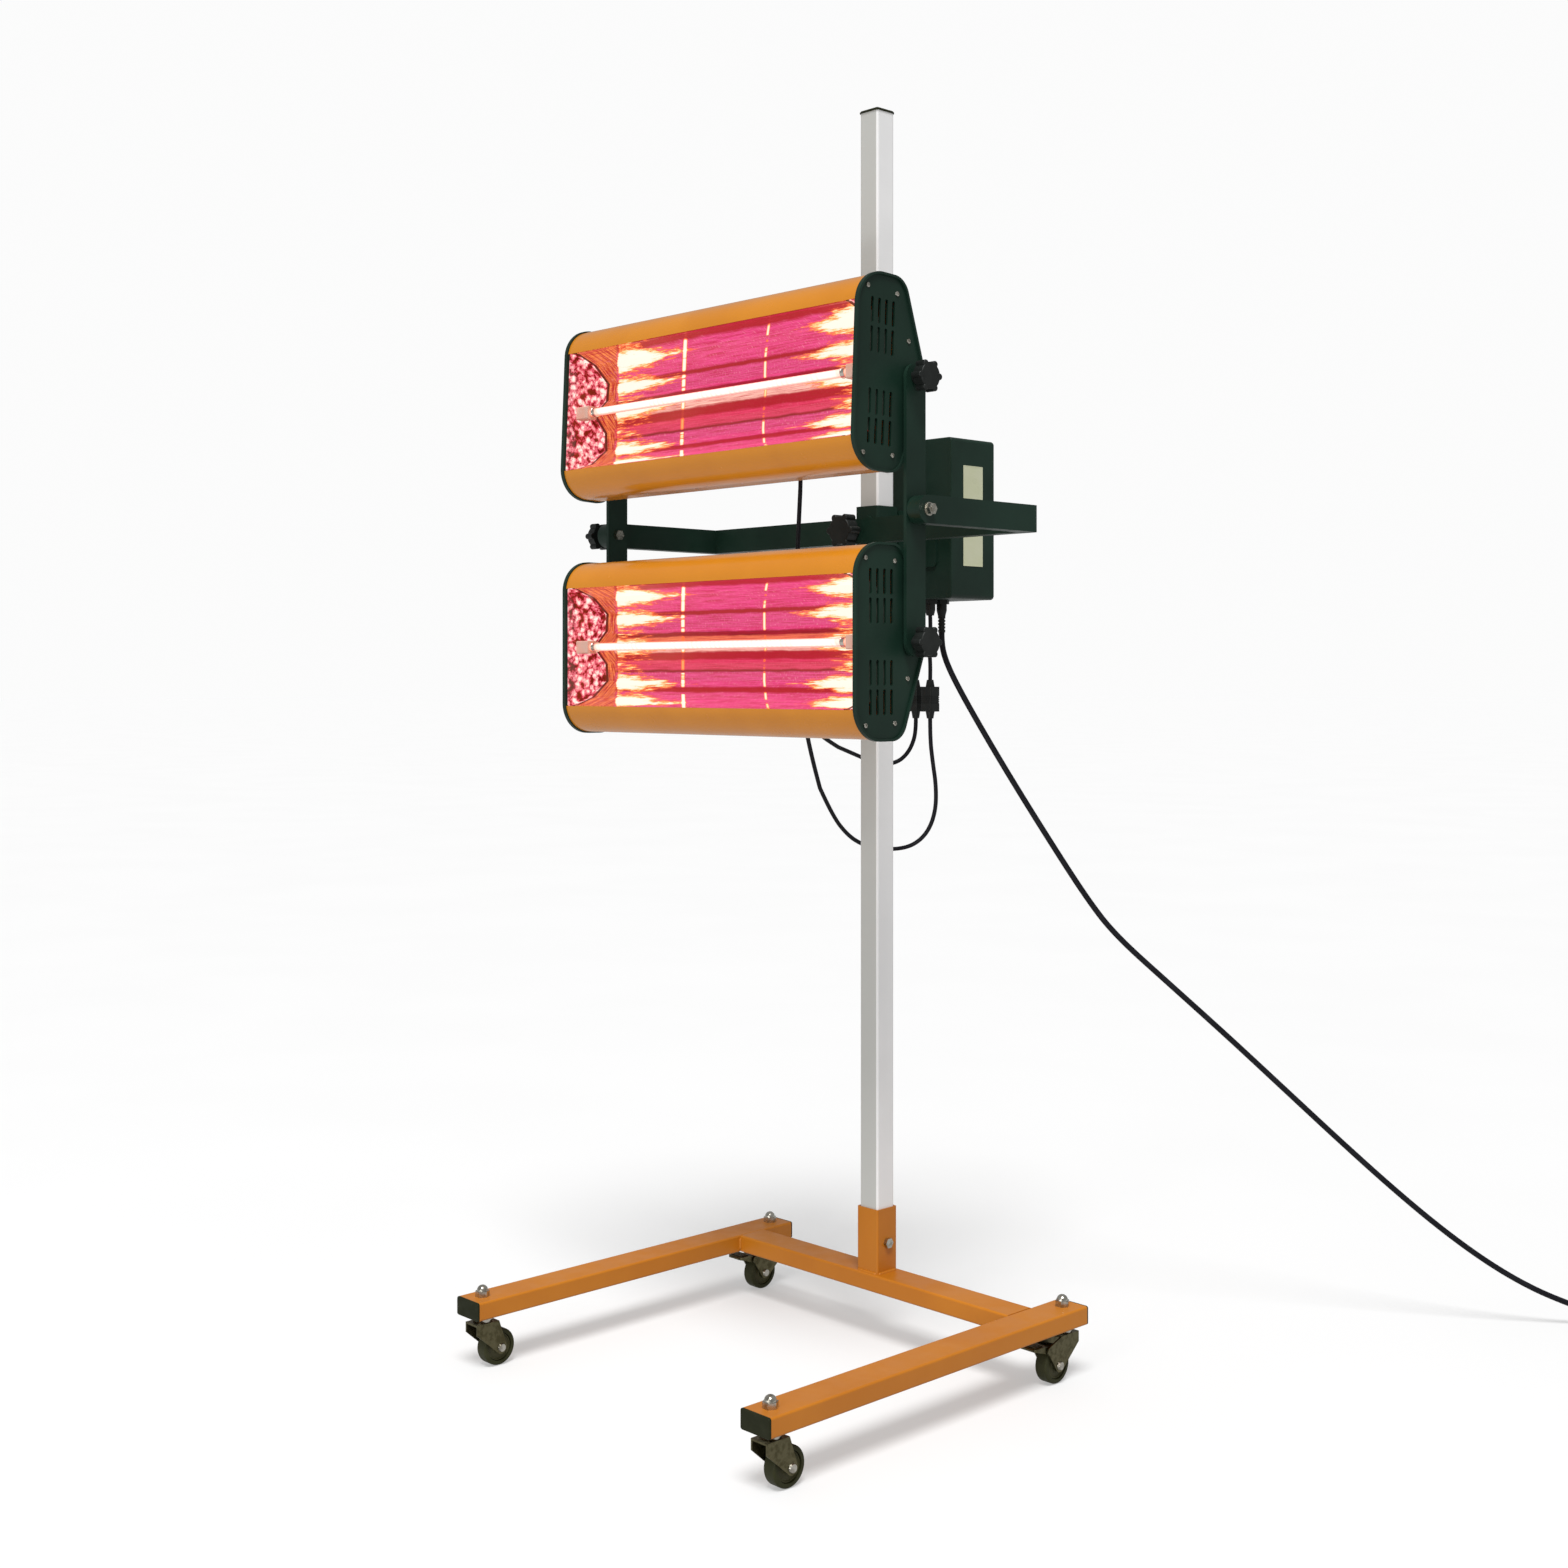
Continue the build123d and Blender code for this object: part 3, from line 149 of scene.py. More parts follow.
def pick_faces(mesh: bmesh.types.BMesh, wanted: FaceTest) -> None:
    """Select the faces that pass a test and no other.

    Args:
        mesh: The mesh under edit.
        wanted: The test.
    """
    for face in mesh.faces:
        face.select_set(False)
    for face in mesh.faces:
        if wanted(face):
            face.select_set(True)
    mesh.select_flush_mode()


def added(name: str) -> bpy.types.Object:
    """Name the object that an operator has just added.

    Args:
        name: Its new name.

    Returns:
        The object.
    """
    piece = bpy.context.object
    piece.name = name
    piece.data.name = name
    return piece


def settle(piece: bpy.types.Object, place: Matrix | None = None, angle: float = 30.0) -> bpy.types.Object:
    """Put a piece in place, with its place in its mesh, and smooth its round faces.

    Args:
        piece: The finished piece.
        place: The move from where it was modelled to the frame.
        angle: Edges sharper than this many degrees stay sharp.

    Returns:
        The piece.
    """
    take(piece)
    if place is not None:
        piece.matrix_world = place @ piece.matrix_world
        bpy.context.view_layer.update()
    bpy.ops.object.transform_apply(location=True, rotation=True, scale=True)
    with editing(piece):
        bpy.ops.mesh.select_all(action="SELECT")
        bpy.ops.mesh.remove_doubles(threshold=SAME_PLACE)
        bpy.ops.mesh.normals_make_consistent(inside=False)
    take(piece)
    bpy.ops.object.shade_smooth_by_angle(angle=radians(angle))
    return piece


def apply_modifier(piece: bpy.types.Object, kind: str, **values: object) -> None:
    """Add a modifier with its settings and apply it.

    Args:
        piece: The object.
        kind: Blender's name of the modifier type.
        values: Its settings.
    """
    take(piece)
    modifier = piece.modifiers.new(kind.title(), kind)
    for key, value in values.items():
        setattr(modifier, key, value)
    bpy.ops.object.modifier_apply(modifier=modifier.name)


def grow(start: tuple[float, float], rings: Sequence[tuple[float, float]]) -> None:
    """Extrude the selected circle from ring to ring along Z.

    Args:
        start: The circle's radius and height.
        rings: Radius and height of each next ring.
    """
    radius, height = start
    for next_radius, next_height in rings:
        bpy.ops.mesh.extrude_region_move(TRANSFORM_OT_translate={"value": (0, 0, next_height - height)})
        share = next_radius / radius
        bpy.ops.transform.resize(value=(share, share, 1), center_override=(0, 0, next_height))
        radius, height = next_radius, next_height


def turned(name: str, profile: Sequence[tuple[float, float]], steps: int) -> bpy.types.Object:
    """Turn a solid about Z by extruding a disc from ring to ring.

    Args:
        name: The piece's name.
        profile: Radius and height of each ring, from the foot up.
        steps: Sides of each ring.

    Returns:
        The piece, closed at both ends.
    """
    deselect()
    radius, height = profile[0]
    bpy.ops.mesh.primitive_circle_add(
        vertices=steps, radius=radius, fill_type="NGON", location=(0, 0, height)
    )
    piece = added(name)
    bpy.ops.object.transform_apply(location=True)
    with editing(piece):
        bpy.ops.mesh.select_all(action="SELECT")
        grow(profile[0], profile[1:])
    return piece


def ring(name: str, profile: Sequence[tuple[float, float]], steps: int) -> bpy.types.Object:
    """Turn a closed ring about Z by extruding a circle round its section.

    Args:
        name: The piece's name.
        profile: Radius and height of each corner of the section, in order.
        steps: Sides of the ring.

    Returns:
        The closed ring.
    """
    deselect()
    radius, height = profile[0]
    bpy.ops.mesh.primitive_circle_add(vertices=steps, radius=radius, location=(0, 0, height))
    piece = added(name)
    bpy.ops.object.transform_apply(location=True)
    with editing(piece, "EDGE"):
        bpy.ops.mesh.select_all(action="SELECT")
        grow(profile[0], [*profile[1:], profile[0]])
        bpy.ops.mesh.select_all(action="SELECT")
        bpy.ops.mesh.remove_doubles(threshold=SAME_PLACE)
        bpy.ops.mesh.normals_make_consistent(inside=False)
    return piece


def block(name: str, size: Point, middle: Point) -> bpy.types.Object:
    """Add a box of a given size.

    Args:
        name: The piece's name.
        size: Its size along X, Y and Z.
        middle: Its middle.

    Returns:
        The box, with its place in its mesh.
    """
    deselect()
    bpy.ops.mesh.primitive_cube_add(size=1, location=middle)
    piece = added(name)
    piece.scale = size
    bpy.ops.object.transform_apply(location=True, rotation=True, scale=True)
    return piece


def copy_of(piece: bpy.types.Object, name: str) -> bpy.types.Object:
    """Copy a piece with a mesh of its own.

    Args:
        piece: The piece to copy.
        name: The copy's name.

    Returns:
        The copy.
    """
    twin = piece.copy()
    twin.data = piece.data.copy()
    twin.name = twin.data.name = name
    bpy.context.collection.objects.link(twin)
    return twin


def joined(name: str, pieces: Sequence[bpy.types.Object]) -> bpy.types.Object:
    """Join several pieces into one.

    Args:
        name: The name of the whole.
        pieces: The pieces, which are used up.

    Returns:
        The whole.
    """
    take(pieces[0])
    for piece in pieces:
        piece.select_set(True)
    bpy.ops.object.join()
    return added(name)


def facing(point: Sequence[float], way: Sequence[float]) -> Matrix:
    """Give the move that stands a piece modelled along Z at a point, along a way.

    Args:
        point: Where its origin goes.
        way: Where its Z axis goes.

    Returns:
        The move.
    """
    turn = Vector((0, 0, 1)).rotation_difference(Vector(way)).to_matrix().to_4x4()
    return Matrix.Translation(Vector(point)) @ turn


# Finishes


class Nodes:
    """A material's nodes while they are being laid out."""

    def __init__(self, name: str) -> None:
        """Start a material.

        Args:
            name: The material's name.
        """
        self.material = bpy.data.materials.new(name)
        self.material.use_nodes = True
        self.tree = self.material.node_tree
        self.surface = self.tree.nodes["Principled BSDF"]
        self.place = self.tree.nodes.new("ShaderNodeTexCoord").outputs["Object"]

    def add(self, kind: str, **settings: object) -> bpy.types.Node:
        """Add a node.

        Args:
            kind: Blender's name of the node type.
            settings: Attributes of the node.

        Returns:
            The node.
        """
        node = self.tree.nodes.new(kind)
        for key, value in settings.items():
            setattr(node, key, value)
        return node

    def feed(self, socket: Socket, value: object) -> None:
        """Give a socket a link or a fixed value.

        Args:
            socket: The input socket.
            value: An output socket or a value.
        """
        if isinstance(value, Socket):
            self.tree.links.new(value, socket)
        else:
            socket.default_value = value

    def set(self, **values: object) -> None:
        """Feed the surface's sockets, named with underscores for blanks.

        Args:
            values: A value or an output socket for each.
        """
        for key, value in values.items():
            if isinstance(value, tuple) and len(value) == 3:
                value = (*value, 1.0)
            self.feed(self.surface.inputs[key.replace("_", " ")], value)

    def mapped(
        self, vector: Socket, kind: str, scale: Point = (1, 1, 1), shift: Point = (0, 0, 0),
        turn: Point = (0, 0, 0),
    ) -> Socket:
        """Map coordinates.

        Args:
            vector: The coordinates.
            kind: POINT to scale, turn and move them, TEXTURE to undo such a move.
            scale: Scale along each axis.
            shift: Move.
            turn: Turn in radians.

        Returns:
            The mapped coordinates.
        """
        node = self.add("ShaderNodeMapping", vector_type=kind)
        self.feed(node.inputs["Vector"], vector)
        node.inputs["Scale"].default_value = scale
        node.inputs["Location"].default_value = shift
        node.inputs["Rotation"].default_value = turn
        return node.outputs["Vector"]

    def stretched(self, scale: Point, vector: object = None) -> Socket:
        """Scale coordinates.

        Args:
            scale: Scale along each axis.
            vector: Coordinates, or none for the object's own.

        Returns:
            The scaled coordinates.
        """
        return self.mapped(self.place if vector is None else vector, "POINT", scale)

    def axes(self, vector: object = None) -> tuple[Socket, ...]:
        """Split coordinates into their three numbers.

        Args:
            vector: Coordinates, or none for the object's own.

        Returns:
            The X, Y and Z sockets.
        """
        node = self.add("ShaderNodeSeparateXYZ")
        self.feed(node.inputs[0], self.place if vector is None else vector)
        return node.outputs["X"], node.outputs["Y"], node.outputs["Z"]

    def noise(
        self, scale: float, detail: float = 3.0, vector: object = None, rough: float = 0.5
    ) -> Socket:
        """Give cloudy noise.

        Args:
            scale: Its scale per metre.
            detail: Octaves.
            vector: Coordinates, or none for the object's own.
            rough: How strong the fine octaves are.

        Returns:
            Its factor.
        """
        node = self.add("ShaderNodeTexNoise")
        self.feed(node.inputs["Vector"], self.place if vector is None else vector)
        node.inputs["Scale"].default_value = scale
        node.inputs["Detail"].default_value = detail
        node.inputs["Roughness"].default_value = rough
        return node.outputs["Fac"]

    def grain(self, vector: Socket, scale: Point, detail: float = 3.0, rough: float = 0.5) -> Socket:
        """Give noise of its own scale along each axis.

        Args:
            vector: Coordinates.
            scale: Scale per metre along each axis.
            detail: Octaves.
            rough: How strong the fine octaves are.

        Returns:
            Its factor.
        """
        return self.noise(1.0, detail, self.stretched(scale, vector), rough)

    def cells(self, scale: float) -> Socket:
        """Give a cell pattern's distance.

        Args:
            scale: Its scale per metre.

        Returns:
            The distance.
        """
        node = self.add("ShaderNodeTexVoronoi")
        self.feed(node.inputs["Vector"], self.place)
        node.inputs["Scale"].default_value = scale
        return node.outputs["Distance"]

    def sum(
        self, kind: str, first: object, second: object = 0.0, third: float = 0.5, clamp: bool = False
    ) -> Socket:
        """Do one sum.

        Args:
            kind: Blender's name of the sum.
            first: A socket or number.
            second: A socket or number.
            third: A number, for the sums that take three.
            clamp: Whether the result is held from 0 to 1.

        Returns:
            The result.
        """
        node = self.add("ShaderNodeMath", operation=kind, use_clamp=clamp)
        self.feed(node.inputs[0], first)
        self.feed(node.inputs[1], second)
        node.inputs[2].default_value = third
        return node.outputs[0]

    def total(self, *terms: tuple[Socket, float]) -> Socket:
        """Add up weighted values.

        Args:
            terms: Each value with its weight.

        Returns:
            Their total.
        """
        result = self.sum("MULTIPLY", *terms[0])
        for value, weight in terms[1:]:
            result = self.sum("ADD", result, self.sum("MULTIPLY", value, weight))
        return result

    def span(
        self, value: object, low: float, high: float, to_low: float = 0.0, to_high: float = 1.0,
        smooth: bool = True,
    ) -> Socket:
        """Map a range onto another, held at its ends.

        Args:
            value: The value.
            low: Start of the range.
            high: End of the range.
            to_low: What the start becomes.
            to_high: What the end becomes.
            smooth: Whether the change eases in and out.

        Returns:
            The mapped value.
        """
        node = self.add("ShaderNodeMapRange", interpolation_type="SMOOTHSTEP" if smooth else "LINEAR")
        for socket, number in zip(node.inputs, (value, low, high, to_low, to_high)):
            self.feed(socket, number)
        return node.outputs[0]

    def ramp(self, factor: object, stops: Sequence[tuple[float, Colour]]) -> Socket:
        """Colour a factor along a ramp.

        Args:
            factor: The factor.
            stops: Place and colour of each stop.

        Returns:
            The colour.
        """
        node = self.add("ShaderNodeValToRGB")
        elements = node.color_ramp.elements
        while len(elements) < len(stops):
            elements.new(0.5)
        for element, (place, colour) in zip(elements, stops):
            element.position = place
            element.color = (*colour, 1.0)
        self.feed(node.inputs["Fac"], factor)
        return node.outputs["Color"]

    def mix(self, factor: object, first: object, second: object) -> Socket:
        """Mix two colours.

        Args:
            factor: How much of the second.
            first: A colour or socket.
            second: A colour or socket.

        Returns:
            The mixed colour.
        """
        node = self.add("ShaderNodeMix", data_type="RGBA")
        sockets = [node.inputs[0], node.inputs[6], node.inputs[7]]
        for socket, value in zip(sockets, (factor, first, second)):
            if isinstance(value, tuple) and len(value) == 3:
                value = (*value, 1.0)
            self.feed(socket, value)
        return node.outputs[2]

    def bump(self, height: object, depth: float, strength: float) -> None:
        """Give the surface a relief.

        Args:
            height: The height, about 0 to 1.
            depth: How deep the full height is, in metres.
            strength: How strong it shows.
        """
        node = self.add("ShaderNodeBump")
        node.inputs["Strength"].default_value = strength
        node.inputs["Distance"].default_value = depth
        self.feed(node.inputs["Height"], height)
        self.feed(self.surface.inputs["Normal"], node.outputs["Normal"])


@dataclass(frozen=True)
class Paint:
    """Sprayed or baked paint on sheet metal, with painted shade on a face that looks forward where one is
    given.
    """

    name: str
    colour: Colour
    shade: Colour
    roughness: float = 0.4
    coat: float = 0.0
    shine: float = 0.3
    peel: float = 0.00001
    peel_scale: float = 420.0
    dust: float = 0.08
    # Colour of the painted shade on the face that looks forward, and the Y in front of which it lies.
    front: Colour | None = None
    front_y: float = 0.0
    cloud_scale: float = 9.0
    cloud_range: tuple[float, float] = (0.35, 0.65)
    scuff_scale: float = 70.0
    scuff_stretch: Point = (1, 1, 0.25)
    scuff_range: tuple[float, float] = (0.62, 0.8)
    dust_fade: float = 0.8
    dust_lift: float = 0.08
    mottle_scale: float = 30.0
    smoothest: float = 0.85
    roughest: float = 1.25
    coat_roughness: float = 0.12
    relief: float = 0.7

    def material(self) -> bpy.types.Material:
        """Return the finish as a material."""
        nodes = Nodes(self.name)
        cloud = nodes.noise(self.cloud_scale, 4.0)
        scuffs = nodes.noise(self.scuff_scale, 6.0, nodes.stretched(self.scuff_stretch), 0.7)
        base = nodes.mix(nodes.span(cloud, *self.cloud_range), self.colour, self.shade)
        # Painted shade: where a front colour is given, faces in front of the given Y take it.
        if self.front is not None:
            base = nodes.mix(nodes.sum("LESS_THAN", nodes.axes()[1], self.front_y), base, self.front)
        pale = tuple(min(1.0, part * self.dust_fade + self.dust_lift) for part in self.colour)
        dusty = nodes.span(scuffs, *self.scuff_range, 0.0, self.dust)
        mottle = nodes.noise(self.mottle_scale, 3.0)
        low, high = self.roughness * self.smoothest, self.roughness * self.roughest
        nodes.set(
            Base_Color=nodes.mix(dusty, base, pale),
            Roughness=nodes.span(mottle, *NOISE_RANGE, low, high),
            Specular_IOR_Level=self.shine,
            Coat_Weight=self.coat,
            Coat_Roughness=self.coat_roughness,
        )
        nodes.bump(nodes.noise(self.peel_scale, 2.0), self.peel, self.relief)
        return nodes.material


@dataclass(frozen=True)
class Moulding:
    """Moulded plastic or rubber with a fine grain."""

    name: str
    colour: Colour
    worn: Colour
    roughness: float = 0.5
    shine: float = 0.25
    grain: float = 0.00003
    grain_scale: float = 1500.0
    wear_scale: float = 38.0
    wear_range: tuple[float, float] = (0.42, 0.72)
    wear_most: float = 0.6
    mottle_scale: float = 60.0
    smoother_by: float = 0.08
    rougher_by: float = 0.1
    relief: float = 0.8

    def material(self) -> bpy.types.Material:
        """Return the finish as a material."""
        nodes = Nodes(self.name)
        dull = nodes.span(nodes.noise(self.wear_scale, 5.0), *self.wear_range, 0.0, self.wear_most)
        mottle = nodes.noise(self.mottle_scale, 3.0)
        low, high = self.roughness - self.smoother_by, self.roughness + self.rougher_by
        nodes.set(
            Base_Color=nodes.mix(dull, self.colour, self.worn),
            Roughness=nodes.span(mottle, *NOISE_RANGE, low, high),
            Specular_IOR_Level=self.shine,
        )
        nodes.bump(nodes.noise(self.grain_scale, 2.0), self.grain, self.relief)
        return nodes.material


@dataclass(frozen=True)
class Plated:
    """Bright plated or stamped steel."""

    name: str
    colour: Colour
    dark: Colour
    roughness: float = 0.3
    blotch_scale: float = 130.0
    blotch_range: tuple[float, float] = (0.4, 0.66)
    brush_scale: float = 900.0
    brush_depth: float = 0.00002
    smoothest: float = 0.75
    roughest: float = 1.35
    relief: float = 0.6

    def material(self) -> bpy.types.Material:
        """Return the finish as a material."""
        nodes = Nodes(self.name)
        blotch = nodes.span(nodes.noise(self.blotch_scale, 5.0), *self.blotch_range)
        lines = nodes.noise(self.brush_scale, 3.0)
        low, high = self.roughness * self.smoothest, self.roughness * self.roughest
        nodes.set(
            Base_Color=nodes.mix(blotch, self.colour, self.dark),
            Metallic=1.0,
            Roughness=nodes.span(lines, *NOISE_RANGE, low, high),
        )
        nodes.bump(lines, self.brush_depth, self.relief)
        return nodes.material


@dataclass(frozen=True)
class Band:
    """One stripe of the reflector's painted glow: where it starts up the mouth, its painted light or shade,
    and how strongly the painted shimmer and support reflections show on it.
    """

    start: float
    colour: Colour
    life: float


# Colours of the reflector's painted glow: the tube's reflected light, painted highlights and sparkles, and
# painted shade in the deep bands and dark lines.
ROSE: Colour = (0.78, 0.065, 0.26)
CORAL: Colour = (0.75, 0.045, 0.14)
DEEP: Colour = (0.34, 0.002, 0.016)
DARK_LINE: Colour = (0.16, 0.0, 0.007)
BAND_ORANGE: Colour = (0.87, 0.20, 0.09)
PALE_GLOW: Colour = (1.0, 0.58, 0.48)
PINK_SHIMMER: Colour = (1.0, 0.42, 0.50)
WINE_STREAK: Colour = (0.42, 0.0, 0.03)
GOLD_DARK: Colour = (0.40, 0.004, 0.008)
GOLD_LIGHT: Colour = (1.0, 0.30, 0.07)
GLOW_ORANGE: Colour = (1.0, 0.16, 0.04)
FLARE_YELLOW: Colour = (1.0, 0.70, 0.26)
FLARE_WHITE: Colour = (1.0, 0.96, 0.84)
# Painted shadow where the trough meets the end sheets.
PAINTED_SCALLOP_SHADOW: Colour = (0.03, 0.0, 0.002)
UNLIT: Colour = (0.0, 0.0, 0.0)
COIL_WHITE: Colour = (1.0, 0.95, 0.88)
COIL_PINK: Colour = (1.0, 0.62, 0.54)
PAINTED_RIM_RED: Colour = (1.0, 0.30, 0.24)


@dataclass(frozen=True)
class PaintedGlowReflector:
    """Gold facets with painted glow: the tube's reflected light and shade painted in stripes across and
    flares along the cassette.
    """

    name: str
    lamp: Lamp
    half_mouth: float = 0.083
    half_length: float = 0.282
    blur: float = 0.007
    bands: tuple[Band, ...] = (
        Band(0.00, ROSE, 1.0), Band(0.12, DEEP, 0.1), Band(0.165, ROSE, 1.0),
        Band(0.285, DARK_LINE, 0.05), Band(0.305, CORAL, 0.4), Band(0.385, DEEP, 0.1),
        Band(0.45, PALE_GLOW, 0.8), Band(0.515, BAND_ORANGE, 0.3), Band(0.575, DARK_LINE, 0.05),
        Band(0.615, ROSE, 1.0), Band(0.755, DEEP, 0.1), Band(0.79, ROSE, 1.0), Band(0.965, DEEP, 0.1),
    )
    section: tuple[tuple[float, float], ...] = (
        (0.0, 0.040), (0.0232, 0.0609), (0.0481, 0.0626), (0.0714, 0.0365), (0.0825, 0.0065),
    )
    # Painted flares of reflected light: their middles across the mouth, and their reach and ends along the
    # cassette.
    flare_middles: tuple[float, ...] = (0.035, 0.19, 0.50, 0.735, 0.915)
    flare_half: float = 0.075
    flare_start: float = -0.62
    flare_edge: float = 0.02
    left_flare_end: float = 0.22
    right_flare: tuple[float, float] = (0.46, 1.08)
    flare_weights: tuple[float, ...] = (0.66, 0.42, 0.9, 0.5)
    flare_range: tuple[float, float] = (1.22, 1.66)
    flare_shades: tuple[tuple[float, float, Colour], ...] = (
        (0.05, 0.30, GLOW_ORANGE), (0.28, 0.55, FLARE_YELLOW), (0.5, 0.85, FLARE_WHITE),
    )
    # Where the painted reflection strips of the two tube supports lie along the cassette, and how strong
    # the second is.
    first_support: tuple[float, float] = (-0.117, -0.093)
    second_support: tuple[float, float] = (0.466, 0.482)
    second_strength: float = 0.75
    dash_range: tuple[float, float] = (0.36, 0.46)
    weave_range: tuple[float, float] = (0.38, 0.62)
    streak_range: tuple[float, float] = (0.42, 0.62)
    streak_most: float = 0.75
    shimmer_range: tuple[float, float] = (0.52, 0.75)
    shimmer_most: float = 0.55
    wobble_scale: float = 30.0
    wobble_size: float = 0.004
    sheet: Colour = (0.14, 0.05, 0.02)
    metallic: float = 0.7
    roughness: float = 0.4
    ripple_scale: float = 240.0
    ripple_depth: float = 0.0002
    relief: float = 0.6
    scallop_shadow: float = 0.942
    scallop: float = 0.962
    view_slant: float = 1.19
    lip_depth: float = 0.0067
    line_grain: Point = (40.0, 1.0, 520.0)
    tongue_grain: Point = (22.0, 1.0, 210.0)
    dash_grain: Point = (6.0, 1.0, 110.0)
    weave_grain: Point = (420.0, 1.0, 60.0)
    streak_grain: Point = (16.0, 1.0, 1100.0)
    shimmer_grain: Point = (500.0, 1.0, 260.0)

    def stripes(self, nodes: Nodes, height: Socket, shades: Sequence[Colour]) -> Socket:
        """Lay one shade on each band.

        Args:
            nodes: The material being laid out.
            height: The place across the mouth, 0 to 1.
            shades: The shade of each band.

        Returns:
            The striped colour.
        """
        ends = [band.start for band in self.bands[1:]] + [1.0]
        stops: list[tuple[float, Colour]] = []
        for band, end, shade in zip(self.bands, ends, shades):
            stops += [(band.start + self.blur, shade), (end - self.blur, shade)]
        return nodes.ramp(height, stops)

    def flare_reach(self, nodes: Nodes, height: Socket) -> Socket:
        """Give how far a painted flare of reflected light reaches along the cassette, most at each flare's
        middle.

        Args:
            nodes: The material being laid out.
            height: The place across the mouth, 0 to 1.

        Returns:
            The reach, 0 to 1.
        """
        stops: list[tuple[float, Colour]] = []
        for middle in self.flare_middles:
            for offset, reach in ((-self.flare_half, 0.0), (0.0, 1.0), (self.flare_half, 0.0)):
                stops.append((min(max(middle + offset, 0.0), 1.0), (reach,) * 3))
        return nodes.ramp(height, stops)

    def lit_side(self, nodes: Nodes, depth: Socket, up: Socket) -> Socket:
        """Tell the sheet's front, which takes the painted glow, from its dark back by the section's own
        line.

        Args:
            nodes: The material being laid out.
            depth: The cassette's own Y.
            up: The cassette's own Z.

        Returns:
            1 on the front and 0 on the back.
        """
        top, deepest = self.section[-1][0], max(far for _, far in self.section)
        share = nodes.sum("DIVIDE", nodes.sum("ABSOLUTE", up), top)
        line = nodes.ramp(share, [(height / top, (far / deepest,) * 3) for height, far in self.section])
        front = nodes.sum("MULTIPLY_ADD", line, deepest, MOUTH_Y)
        in_front = nodes.sum("LESS_THAN", depth, front)
        at_lip = nodes.sum("LESS_THAN", depth, MOUTH_Y + self.lip_depth)
        return nodes.sum("MAXIMUM", in_front, at_lip)

    def support(self, nodes: Nodes, along: Socket, ends: tuple[float, float]) -> Socket:
        """Paint the narrow strip of reflected light that a tube support throws back.

        Args:
            nodes: The material being laid out.
            along: The place along the cassette, -1 to 1.
            ends: Where the strip starts and ends.

        Returns:
            1 on the strip and 0 beside it.
        """
        start, end = ends
        soft = (end - start) / 3
        rise = nodes.span(along, start - soft, start + soft)
        return nodes.sum("MULTIPLY", rise, nodes.span(along, end + soft, end - soft))

    def heat(self, nodes: Nodes, along: Socket, own: Socket, height: Socket, life: Socket) -> Socket:
        """Give the painted flares of reflected light at both ends and the painted reflection strips of the
        two tube supports.

        Args:
            nodes: The material being laid out.
            along: The place along the cassette, -1 to 1, as its mouth's plane shows it.
            own: The cassette's own coordinates.
            height: The place across the mouth, 0 to 1.
            life: How strongly the painted shimmer and support reflections show on the band.

        Returns:
            The strength of the painted flares, 0 to 1.
        """
        start, soft = self.flare_start, self.flare_edge
        edge = nodes.span(along, start - soft, start + soft)
        left = nodes.sum("MULTIPLY", edge, nodes.span(along, self.left_flare_end, start))
        near_end = nodes.sum("MAXIMUM", left, nodes.span(along, *self.right_flare))
        lines = nodes.grain(own, self.line_grain, 6.0, 0.75)
        tongues = nodes.grain(own, self.tongue_grain, 2.0)
        parts = (near_end, self.flare_reach(nodes, height), lines, tongues)
        flare_sum = nodes.total(*zip(parts, self.flare_weights))
        dashes = nodes.span(nodes.grain(own, self.dash_grain), *self.dash_range)
        supports = nodes.total(
            (self.support(nodes, along, self.first_support), 1.0),
            (self.support(nodes, along, self.second_support), self.second_strength),
        )
        supports = nodes.sum("MULTIPLY", nodes.sum("MULTIPLY", supports, dashes), life)
        return nodes.sum("ADD", nodes.span(flare_sum, *self.flare_range), supports, clamp=True)

    def glow(self, nodes: Nodes, along: Socket, own: Socket, height: Socket) -> Socket:
        """Paint the tube's reflected light and shade on the facets between the end sheets.

        Args:
            nodes: The material being laid out.
            along: The place along the cassette, -1 to 1, as its mouth's plane shows it.
            own: The cassette's own coordinates.
            height: The place across the mouth, 0 to 1.

        Returns:
            The colour.
        """
        life = self.stripes(nodes, height, [(band.life,) * 3 for band in self.bands])
        colour = self.stripes(nodes, height, [band.colour for band in self.bands])
        # Painted reflection: dark and light gold at the left end, before the flares start.
        weave = nodes.span(nodes.grain(own, self.weave_grain), *self.weave_range)
        gold = nodes.mix(weave, GOLD_DARK, GOLD_LIGHT)
        start, soft = self.flare_start, self.flare_edge
        colour = nodes.mix(nodes.span(along, start + soft, start - soft), colour, gold)
        streaks = nodes.grain(own, self.streak_grain, 5.0, 0.75)
        streaks = nodes.span(streaks, *self.streak_range, 0.0, self.streak_most)
        colour = nodes.mix(streaks, colour, WINE_STREAK)
        # Painted highlight: a fine pink shimmer, strongest on the brightest bands.
        shimmer = nodes.grain(own, self.shimmer_grain, 3.0, 0.7)
        shimmer = nodes.span(shimmer, *self.shimmer_range, 0.0, self.shimmer_most)
        colour = nodes.mix(nodes.sum("MULTIPLY", shimmer, life), colour, PINK_SHIMMER)
        flare_light = self.heat(nodes, along, own, height, life)
        for low, high, shade in self.flare_shades:
            colour = nodes.mix(nodes.span(flare_light, low, high), colour, shade)
        return colour

